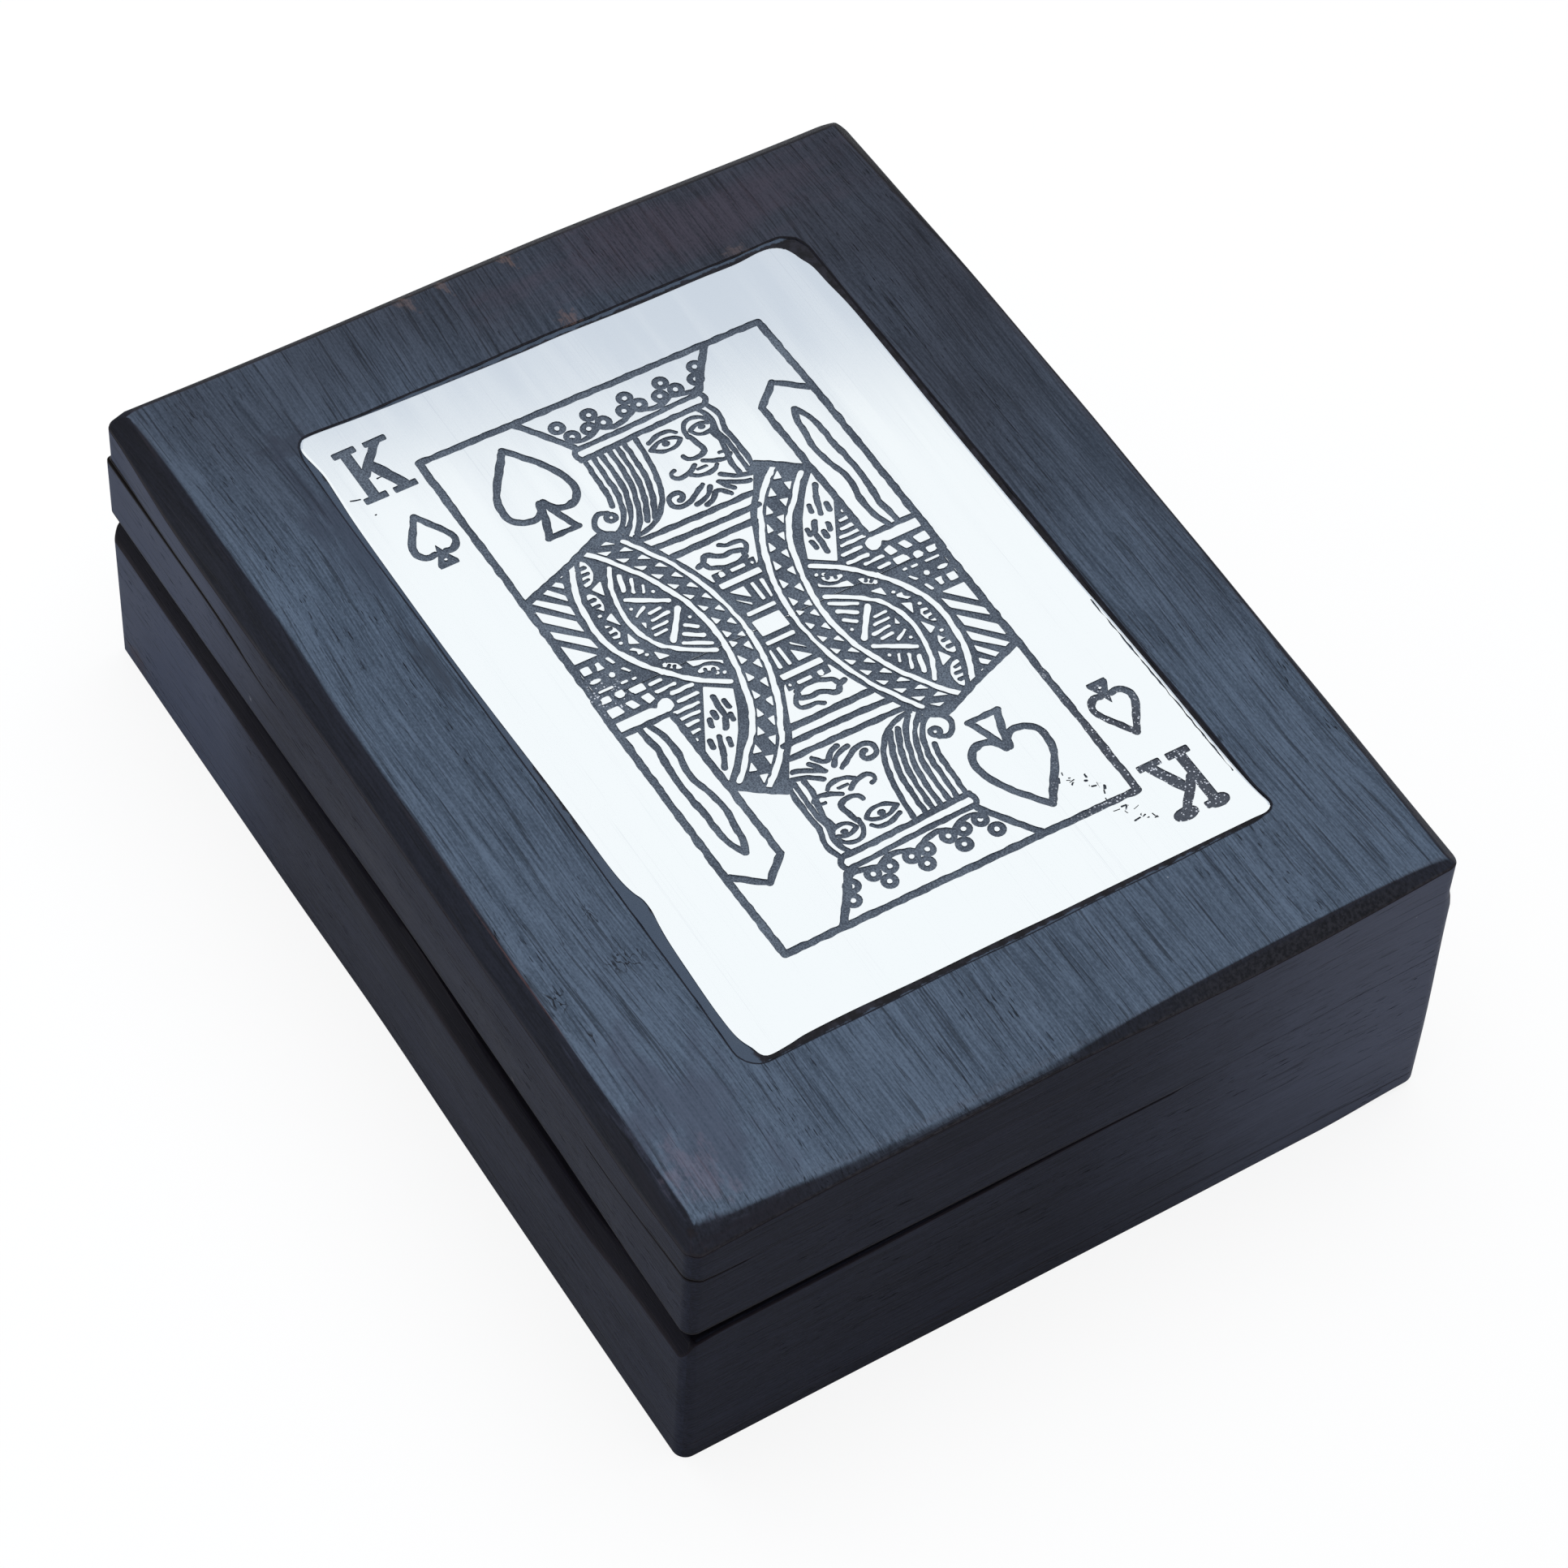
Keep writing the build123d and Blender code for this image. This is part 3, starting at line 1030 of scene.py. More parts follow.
@dataclass
class HandWork:
    """How far the real box strays from true, as seen along its edges."""

    plan: Plan
    seam: float
    foot_height: float

    def move(self, points: Array) -> Array:
        """Move the outer skin of the wood inward to where the hand-made one lies.

        Args:
            points: Points of a wooden piece.

        Returns:
            The moved points. The inner walls stay true, and so does the back round the hinges.
        """
        x, y, z = (points[..., axis].copy() for axis in range(3))
        rail = self.plan.half_width - self.plan.inner_half_width
        front = np.clip((-y - self.plan.inner_half_width) / rail, 0, 1)
        right = np.clip((x - self.plan.inner_half_length) / rail, 0, 1)
        left = np.clip((-x - self.plan.inner_half_length) / rail, 0, 1)
        back = np.clip((y - self.plan.inner_half_width) / rail, 0, 1)
        lid = ramp(z, 21, 23.7) * (1 - ramp(z, 24, 31))
        foot = 1 - ramp(z, 0, 19)
        arch = smooth_curve(x, {-60: 0, -40: 0.06, -22: 0.22, 3: 0.4, 20: 0.34, 38: 0.2, 50: 0.05, 60: 0})
        sole = smooth_curve(x, {-60: 0, -40: 0, -21: 0.06, -3: 0.25, 14: 0.12, 35: 0, 60: 0})
        board = ramp(z, self.seam - 1.1, self.seam)
        y = y + front * (lid * arch + foot * sole + 0.02 * (1.1 + waves(x, z, 34)))
        y = y + front * 0.25 * board * (1 - ramp(x, -58, -44))
        taper = smooth_curve(y, {-45.6: 0, -10: 0, 5: 0.05, 25: 0.2, 39: 0.5, 45.6: 0.6})
        x = x - right * (ramp(z, 8, 32) * taper + 0.02 * (1.1 + waves(y, z, 27)))
        planed = smooth_curve(x, {-60: 0, -20: 0, -5: 0.1, 13: 0.27, 34: 0.43, 60: 0.56})
        y = y - back * planed * ramp(z, 31, 34)
        z = z + 0.9 * ramp(x + y, 92, 105) * (1 - ramp(z, 0, self.foot_height))
        slip = 0.6 * board * ramp(-y, -10, 40) + 0.6 * ramp(y, 5, 45) * ramp(z, 5, 30)
        x = x + left * (slip + 0.02 * (1.1 + waves(y, z, 31)))
        return np.stack([x, y, z], -1)


@dataclass
class Surface:
    """Upper or lower limit of a wooden piece: its height, its arris, and how dark it is painted for an open
    seam and for painted shade in the gap under the lid.
    """

    height: Height
    radius: Field
    joint: Field
    opens_outward: bool = True


def level(z: float) -> Height:
    """Flat height with no crease on it."""
    return lambda x, y: (np.full_like(x, z), np.zeros_like(x))


def even(value: float) -> Field:
    """Arris radius, or openness of a joint, that is the same all round."""
    return lambda x, y: np.full_like(x, value)


@dataclass
class WoodenBox:
    """Wooden shell of the box: two mitred frames, the lid's board and the bottom board."""

    effects: Effects
    bevel_run: float = 1.95
    bevel_drop: float = 1.25
    crease: float = 0.22
    near_depths: tuple[float, ...] = (0, 0.03, 0.08, 0.16, 0.27, 0.42, 0.6, 0.8, 1, 1.25, 1.6, 2.1)
    deep_shares: tuple[float, ...] = (0.12, 0.3, 0.5, 0.7, 0.85, 0.93, 0.97, 0.985, 1)
    end_rows: tuple[float, ...] = (0, 0.35, 0.9)
    wall_rows: int = 7
    wall_shares: tuple[float, ...] = (0.03, 0.07, 0.14, 0.28, 0.5, 0.72, 0.88, 0.95)
    pocket_shares: tuple[float, ...] = (0.1, 0.25, 0.42, 0.6, 0.78, 0.9, 0.97, 0.985, 1)
    pocket_break: float = 0.12
    inner_radius: float = 0.3
    arris_reach: tuple[float, float] = (0.05, 0.5)
    joint_reach: float = 0.3
    far_away: float = 9

    def __post_init__(self) -> None:
        """Read the sizes of the wood from the frame."""
        board_low, board_high = node_box("lid_top_board")
        rail_low, rail_high = node_box("lid_rail_front")
        side_high = node_box("base_rail_left")[1]
        self.plan = Plan(board_high[0], board_high[1], -side_high[0], -rail_high[1])
        self.top = board_high[2]
        self.seam = board_low[2]
        self.underside = rail_low[2]
        self.bottom_board = node_box("base_bottom_board")[1][2]
        self.hand = HandWork(self.plan, self.seam, self.bottom_board)
        self.filler_low, self.filler_high = node_box("inlay_filler")

    def bevelled_top(self, x: Array, y: Array) -> Pair:
        """Top of the lid: flat, with a hand-planed bevel along each side.

        Args:
            x: Places along the box.
            y: Places across it.

        Returns:
            Height, and how close to a crease each place is.
        """
        front_run = smooth_curve(
            x, {-60: 1.9, -50: 2.25, -36: 2.2, -22: 2.5, 0: 2.2, 16: 2.05, 34: 1.85, 60: 1.8}
        )
        front_drop = smooth_curve(
            x, {-60: 1.5, -52: 2.1, -42: 2.8, -32: 2.75, -25: 2.4, -17: 1.85, 5: 1.85, 28: 2, 40: 2.2,
                48: 2.5, 54: 2.1, 60: 1.5}
        )
        right_run = smooth_curve(
            y, {-46: 3.6, -43: 3.1, -38: 2.5, -28: 1.9, -16: 1.5, 0: 1.5, 16: 1.75, 46: 1.75}
        )
        right_drop = smooth_curve(
            y, {-46: 1.6, -42: 1.3, -36: 0.9, -18: 0.45, 0: 0.5, 12: 0.95, 24: 1.2, 36: 1, 45: 0.5}
        )
        left_run = self.bevel_run * smooth_curve(y, {-45: 0.4, -39: 0.5, 0: 0.75, 39: 0.95})
        left_drop = self.bevel_drop * smooth_curve(y, {-45: 0.3, -30: 0.5, 0: 0.8, 39: 1})
        back_run = self.bevel_run * smooth_curve(x, {-60: 0.8, -30: 0.4, 20: 0.4, 60: 0.8})
        back_drop = self.bevel_drop * smooth_curve(x, {-60: 0.9, -35: 0.25, -10: 0.16, 20: 0.25, 60: 0.9})
        from_front = y + self.plan.half_width
        bevels = (
            (from_front, front_drop, front_run),
            (self.plan.half_length - x, right_drop, right_run),
            (self.plan.half_width - y, back_drop, back_run),
            (x + self.plan.half_length, left_drop, left_run),
        )
        height = np.full_like(x, self.top) - 0.04 * (1 - waves(x, y, 45)) * ramp(from_front, 1, 6)
        crease = np.zeros_like(x)
        for depth, drop, run in bevels:
            height, near = smooth_min(height, self.top - drop + depth * drop / run, self.crease)
            crease = np.maximum(crease, near)
        return height, crease

    def base_rim(self, x: Array, y: Array) -> Pair:
        """Rim of the base: planed lower towards the front, with the finger bevel along the front.

        Args:
            x: Places along the box.
            y: Places across it.

        Returns:
            Height, and how close to a crease each place is.
        """
        gap = smooth_curve(y, {-45.6: 2, -43: 1.5, -36: 1.2, -26: 0.95, -12: 0.5, 0: 0.25, 9: 0.1, 16: 0.02})
        hidden = 1 - ramp(np.abs(x), 56, 59)
        gap = gap + 0.26 * hidden * ramp(y, self.plan.inner_half_width, self.plan.inner_half_width + 2)
        notch = smooth_curve(
            x, {-60: 0, -20: 0, -8: 0.1, 8: 0.2, 20: 1.3, 31: 1.75, 41: 1.9, 46: 1, 52: 0.2, 60: 0}
        )
        front = 1 - ramp(y + self.plan.half_width, 1.5, 8)
        rim = self.underside - gap - notch * front
        lower = smooth_curve(
            x, {-60: 2.7, -30: 2.75, -17: 2.8, -8: 3.2, 1: 4, 18: 3.4, 27: 3, 45: 3.1, 60: 2.7}
        )
        bevel = rim - lower + (y + self.plan.half_width) * lower
        return smooth_min(rim, bevel, self.crease)

    def board_seam(self, x: Array, y: Array) -> Pair:
        """Joint between the lid's board and frame, which sags along the front face.

        Args:
            x: Places along the box.
            y: Places across it.

        Returns:
            Height, with no crease.
        """
        sag = smooth_curve(
            x, {-60: 0.7, -45: 0.5, -34: 0.6, -26: 1.5, -18: 1.4, -6: 1.1, 8: 1, 15: 1.3, 22: 0.6, 34: 0.7,
                46: 0.8, 53: 0.2, 60: -0.5}
        )
        front = 1 - ramp(y + self.plan.half_width, 0.5, 2)
        return self.seam - sag * front, np.zeros_like(x)

    def seam_joint(self, x: Array, y: Array) -> Array:
        """How open the joint between board and frame is: most at the left end and the near corner.

        Args:
            x: Places along the box.
            y: Places across it.

        Returns:
            Openness from 0 to 1.
        """
        near = 0.6 * np.exp(-(((x - 61) / 15) ** 2 + ((y + 45.6) / 6) ** 2))
        left = (1 - ramp(x, -34, -20)) * (1 - ramp(y, -44, -20))
        front = 0.1 * (1 - ramp(y, -45.4, -44))
        return np.clip(front + near + left, 0, 1)

    def foot_joint(self, x: Array, y: Array) -> Array:
        """How open the joint of the bottom board is: only the right side shows it."""
        return 0.25 * ramp(x, 58, 60) * ramp(y, -34, 5)

    def lid_underside(self, x: Array, y: Array) -> Pair:
        """Underside of the lid's frame, planed a little hollow along the front.

        Args:
            x: Places along the box.
            y: Places across it.

        Returns:
            Height, with no crease.
        """
        hollow = smooth_curve(x, {-60: 0, -35: 0.03, -15: 0.1, 5: 0.3, 25: 0.2, 42: 0.1, 52: 0.05, 60: 0})
        front = 1 - ramp(y + self.plan.half_width, 2, 8)
        return self.underside + hollow * front, np.zeros_like(x)

    def seam_radius(self, x: Array, y: Array) -> Array:
        """Arris of the joint between board and frame, wider at the left end and the near corner."""
        return 0.012 + 0.28 * self.seam_joint(x, y) ** 2

    def closing_radius(self, x: Array, y: Array) -> Array:
        """Arris of the lid's opening, which closes tight towards the back."""
        return 0.015 + 0.28 * (1 - ramp(y, -12, 14))

    def closing_shade(self, x: Array, y: Array) -> Array:
        """Painted shade inside the lid's opening: how dark its underside is painted, fading where it closes.
        """
        return 0.85 * (1 - ramp(y, -2, 20))

    def rim_shade(self, x: Array, y: Array) -> Array:
        """Painted shade on the rim of the base, in the gap under the lid: only behind the finger bevel and
        the outer arris.
        """
        depth = np.minimum(y + self.plan.half_width - 0.8, self.plan.half_length - np.abs(x))
        return 0.7 * ramp(depth, 0.15, 0.7) * (1 - ramp(y, 0, 20))

    def edge_radius(self, x: Array, y: Array) -> Array:
        """Arris of an edge that hands have rubbed."""
        return 0.3 + 0.1 * waves(x, y, 23)

    def section(
        self, outer: Array, inner: Array, normals: Array, low: Surface, high: Surface
    ) -> tuple[Array, Array, Array]:
        """Closed section of a rail at each station.

        Args:
            outer: Plan points on the outer face.
            inner: Plan points on the inner wall.
            normals: Outward normals at the outer points.
            low: Lower limit of the rail.
            high: Upper limit of the rail.

        Returns:
            Points by station and row, with their arris and joint weights.
        """
        line = inner - outer
        reach = np.linalg.norm(line, axis=1)
        line /= reach[:, None]
        slant = -(line * normals).sum(1)
        near = np.array(self.near_depths)
        full = reach * slant
        deep = near[-1] + (full[:, None] - near[-1]) * np.array(self.deep_shares)
        depth = np.hstack([np.tile(near, (len(outer), 1)), deep])
        plan_points = outer[:, None] + line[:, None] * (depth / slant[:, None])[..., None]
        x, y = plan_points[..., 0], plan_points[..., 1]

        def skin(limit: Surface, sign: int) -> Pair:
            """Height and arris weight over the depth of the section.

            Args:
                limit: Lower or upper limit of the rail.
                sign: -1 for the lower one, 1 for the upper one.

            Returns:
                Height and weight of each point.
            """
            height, crease = limit.height(x, y)
            radius = limit.radius(x, y)
            inside = full[:, None] - depth
            drop = arris_drop(depth, radius) + arris_drop(inside, np.full_like(radius, self.inner_radius))
            weight = np.maximum(1 - ramp(depth, *self.arris_reach), 1 - ramp(inside, 0.1, 0.9))
            return height - sign * drop, np.maximum(weight, crease)

        bottom, bottom_arris = skin(low, -1)
        upper, upper_arris = skin(high, 1)
        room = (upper[:, 0] - bottom[:, 0])[:, None]
        ends = np.array(self.end_rows[1:])
        middle = np.linspace(ends[-1] / room, 1 - ends[-1] / room, self.wall_rows, axis=1)[..., 0]
        share = np.hstack([ends[:-1] / room, middle, 1 - ends[:-1][::-1] / room])
        wall_z = bottom[:, :1] + share * room
        above, below = wall_z - bottom[:, :1], upper[:, :1] - wall_z
        wall_arris = 1 - ramp(np.minimum(above, below), *self.arris_reach)
        wall_joint = self.wall_joint(outer, low, above, high, below)
        rows = wall_z.shape[1]
        outer_wall = np.dstack([np.repeat(outer[:, None, :], rows, 1), wall_z])
        inner_z = np.linspace(upper[:, -1], bottom[:, -1], 5, axis=1)[:, 1:-1]
        inner_wall = np.dstack([np.repeat(inner[:, None, :], 3, 1), inner_z])
        points = np.concatenate(
            [outer_wall, np.dstack([x, y, upper]), inner_wall, np.dstack([x, y, bottom])[:, ::-1]], 1
        )
        arris = np.hstack([wall_arris, upper_arris, np.zeros_like(inner_z), bottom_arris[:, ::-1]])
        joint = np.hstack([wall_joint, high.joint(x, y), np.zeros_like(inner_z), low.joint(x, y)[:, ::-1]])
        return points, arris, joint

    def wall_joint(self, outer: Array, low: Surface, above: Array, high: Surface, below: Array) -> Array:
        """How far the dark of open joints reaches over an outer wall.

        Args:
            outer: Plan points of the wall.
            low: Lower limit of the piece.
            above: Height of each wall point above it.
            high: Upper limit of the piece.
            below: Depth of each wall point below it.

        Returns:
            Joint weight of each wall point.
        """
        x, y = outer[:, :1], outer[:, 1:]
        sides = [
            (limit.joint(x, y) if limit.opens_outward else 0) * (1 - ramp(distance, 0, self.joint_reach))
            for limit, distance in ((low, above), (high, below))
        ]
        return np.maximum(*sides)

    def rail(self, name: str, side: Side, low: Surface, high: Surface) -> Piece:
        """One mitred rail between two limits.

        Args:
            name: Name of the piece.
            side: Side of the box it lies along.
            low: Lower limit.
            high: Upper limit.

        Returns:
            The rail.
        """
        points, arris, joint = self.section(*self.plan.stations(side), low, high)
        draft = MeshDraft()
        grid = draft.add_points(self.hand.move(points), arris, joint)
        draft.add_grid(grid, wrap_columns=True)
        draft.close(grid[0], grid[-1][::-1])
        return draft.build(name)

    def slab(self, name: str, low: Surface, high: Surface, hole: Array | None = None) -> Piece:
        """Board as large as the box, with rounded arrises and perhaps a pocket in its top.

        Args:
            name: Name of the piece.
            low: Lower limit.
            high: Upper limit.
            hole: Outline of the pocket, with one point for each station of the outline.

        Returns:
            The board.
        """
        depth = np.array(self.near_depths)[None, :]
        near_count = depth.shape[1]
        rings = [
            np.vstack([self.plan.stations(side, inset)[0] for side in Side]) for inset in self.near_depths
        ]
        outer, flat = rings[0], np.stack(rings, 1)
        if hole is not None:
            edge = flat[:, -1]
            shares = np.array(self.pocket_shares)
            flat = np.concatenate([flat, edge[:, None] + (hole - edge)[:, None] * shares[None, :, None]], 1)
        x, y = flat[..., 0], flat[..., 1]
        away = np.concatenate([depth[0], np.full(flat.shape[1] - near_count, self.far_away)])[None, :]
        upper, crease = high.height(x, y)
        upper = upper - arris_drop(away, high.radius(x, y))
        upper_joint = high.joint(x, y)
        if hole is not None:
            upper[:, -1] -= self.pocket_break
            upper_joint[:, -2:] = (0, 0.2)
        under_x, under_y = x[:, :near_count], y[:, :near_count]
        under, _ = low.height(under_x, under_y)
        under = under + arris_drop(depth, low.radius(under_x, under_y))
        room = (upper[:, 0] - under[:, 0])[:, None]
        wall_z = under[:, :1] + np.array(self.wall_shares)[None, :] * room
        above, below = wall_z - under[:, :1], upper[:, :1] - wall_z
        wall = np.dstack([np.repeat(outer[:, None], wall_z.shape[1], 1), wall_z])
        rows = [np.dstack([under_x, under_y, under])[:, ::-1], wall, np.dstack([x, y, upper])]
        arris = [
            np.broadcast_to(1 - ramp(depth, *self.arris_reach), under.shape)[:, ::-1],
            1 - ramp(np.minimum(above, below), *self.arris_reach),
            np.maximum(crease, 1 - ramp(away, 0.05, 0.4)),
        ]
        wall_joint = self.wall_joint(outer, low, above, high, below)
        joint = [low.joint(under_x, under_y)[:, ::-1], wall_joint, upper_joint]
        if hole is not None:
            floor = np.full((len(hole), 1), self.filler_low[2])
            rows.append(np.dstack([hole[:, None, 0], hole[:, None, 1], floor]))
            arris.append(np.zeros((len(hole), 1)))
            joint.append(np.ones((len(hole), 1)))
        draft = MeshDraft()
        grid = draft.add_points(self.hand.move(np.concatenate(rows, 1)), np.hstack(arris), np.hstack(joint))
        draft.add_grid(grid, wrap_rows=True)
        draft.close(grid[:, 0], grid[::-1, -1])
        return draft.build(name)

    @staticmethod
    def finish_sides(board: Piece, first: int) -> None:
        """Give a board's upright faces the finishes that follow a given one, by the way they face.

        Args:
            board: The board.
            first: Index of the finish of the long sides, before that of the short ones.
        """
        for face in board.data.polygons:
            if abs(face.normal.z) < 0.3:
                face.material_index = first + (abs(face.normal.x) > abs(face.normal.y))

    @staticmethod
    def cut_mortises(rail: Piece, body: str, hinge_names: Iterable[str]) -> None:
        """Cut the seats of the hinge leaves and barrels into a back rail.

        Args:
            rail: The rail.
            body: Body of the rail, whose leaves lie in it.
            hinge_names: Names of the hinges.
        """
        clearance, barrel_clearance, end_clearance = 0.1, 0.25, 0.3
        seat_depth, past_axis, past_opening = 1.2, 2, 3
        for name in hinge_names:
            low, high = node_box(f"{name}_{body}_leaf")
            _, axis_y, axis_z = sum(node_box(f"{name}_pin")) / 2
            if body == LID:
                bottom, top = axis_z - past_opening, axis_z + (seat_depth + clearance)
            else:
                bottom, top = axis_z - seat_depth - clearance, axis_z + past_opening
            seat_low = (low[0] - clearance, low[1] - clearance, bottom)
            seat_high = (high[0] + clearance, axis_y + past_axis, top)
            bpy.ops.mesh.primitive_cube_add(size=1)
            seat = bpy.context.object
            centre = [(a + b) / 2 * MM for a, b in zip(seat_low, seat_high)]
            size = [(b - a) * MM for a, b in zip(seat_low, seat_high)]
            seat.data.transform(Matrix.Translation(centre) @ Matrix.Diagonal((*size, 1)))
            radius = (high[1] - axis_y + barrel_clearance) * MM
            length = (high[0] - low[0] + 2 * end_clearance) * MM
            bpy.ops.mesh.primitive_cylinder_add(vertices=48, radius=radius, depth=length)
            barrel = bpy.context.object
            place = Matrix.Translation(((low[0] + high[0]) / 2 * MM, axis_y * MM, axis_z * MM))
            barrel.data.transform(place @ Matrix.Rotation(math.pi / 2, 4, "Y"))
            for cutter in (seat, barrel):
                cut = rail.modifiers.new("cut", "BOOLEAN")
                cut.operation, cut.solver, cut.object = "DIFFERENCE", "EXACT", cutter
                bpy.context.view_layer.objects.active = rail
                bpy.ops.object.modifier_apply(modifier=cut.name)
                bpy.data.objects.remove(cutter)

    def build(self, pocket: Array, hinge_names: Sequence[str]) -> None:
        """Build and dress every wooden piece.

        Args:
            pocket: Outline of the pocket in the top board.
            hinge_names: Names of the hinges let into the back rails.
        """
        finishes = {
            Grain.ALONG_X: SIDE_WOOD_X.make(self.effects),
            Grain.ALONG_Y: SIDE_WOOD_Y.make(self.effects),
        }
        board = self.slab(
            "lid_board",
            Surface(self.board_seam, self.seam_radius, self.seam_joint),
            Surface(self.bevelled_top, self.edge_radius, even(0)),
            pocket,
        )
        dress(board, TOP_WOOD.make(self.effects), *finishes.values())
        self.finish_sides(board, 1)
        place_piece(board, LID, "lid_top_board")
        bottom = self.slab(
            "bottom_board",
            Surface(level(0), even(0.15), even(0)),
            Surface(level(self.bottom_board - 0.01), even(0.02), self.foot_joint),
        )
        dress(bottom, *finishes.values())
        self.finish_sides(bottom, 0)
        place_piece(bottom, BASE, "base_bottom_board")
        for side in Side:
            grain = Grain.ALONG_X if side in (Side.FRONT, Side.BACK) else Grain.ALONG_Y
            label = side.name.lower()
            # The lid's underside and the base's rim are painted darker, as painted shade in the gap between
            # them.
            lid_low = Surface(self.lid_underside, self.closing_radius, self.closing_shade, False)
            lid_high = Surface(self.board_seam, self.seam_radius, self.seam_joint)
            lid_rail = self.rail(f"lid_frame_{label}", side, lid_low, lid_high)
            base_low = Surface(level(self.bottom_board), even(0.02), self.foot_joint)
            base_high = Surface(self.base_rim, self.closing_radius, self.rim_shade, False)
            base_rail = self.rail(f"base_frame_{label}", side, base_low, base_high)
            if side is Side.BACK:
                self.cut_mortises(lid_rail, LID, hinge_names)
                self.cut_mortises(base_rail, BASE, hinge_names)
            for piece, body in ((lid_rail, LID), (base_rail, BASE)):
                dress(piece, finishes[grain])
                place_piece(piece, body, f"{body}_rail_{label}")


# Etched plate --------------------------------------------------------------------------------


class Ground(Enum):
    """What a drawn shape leaves on the plate."""

    METAL = 0
    ETCHED = 1


class Layer(Enum):
    """Order in which shapes are laid over each other."""

    FIELD = 0
    INLAY = 1
    LINE = 2
    GLINT = 3


DARK = {"ground": Ground.ETCHED, "layer": Layer.LINE}


@dataclass
class Shape:
    """One drawn shape: closed outlines in card millimetres, with a ground and a layer."""

    loops: list[Array]
    ground: Ground
    layer: Layer

    def turned(self, centre: Array) -> "Shape":
        """The same shape half a turn round a centre."""
        return Shape([2 * centre - loop for loop in self.loops], self.ground, self.layer)

    def covers(self, points: Array) -> Array:
        """Which points lie inside, by winding number.

        Args:
            points: Places to test.

        Returns:
            Whether each is inside.
        """
        low = np.min([loop.min(0) for loop in self.loops], 0)
        high = np.max([loop.max(0) for loop in self.loops], 0)
        inside = np.zeros(len(points), bool)
        near = np.flatnonzero(np.all((points >= low) & (points <= high), 1))
        if not len(near):
            return inside
        px, py = points[near, 0][:, None], points[near, 1][:, None]
        winding = np.zeros(len(near), int)
        for loop in self.loops:
            a, b = loop, np.roll(loop, -1, 0)
            side = (b[:, 0] - a[:, 0]) * (py - a[:, 1]) - (px - a[:, 0]) * (b[:, 1] - a[:, 1])
            winding += ((a[:, 1] <= py) & (b[:, 1] > py) & (side > 0)).sum(1)
            winding -= ((a[:, 1] > py) & (b[:, 1] <= py) & (side < 0)).sum(1)
        inside[near] = winding != 0
        return inside


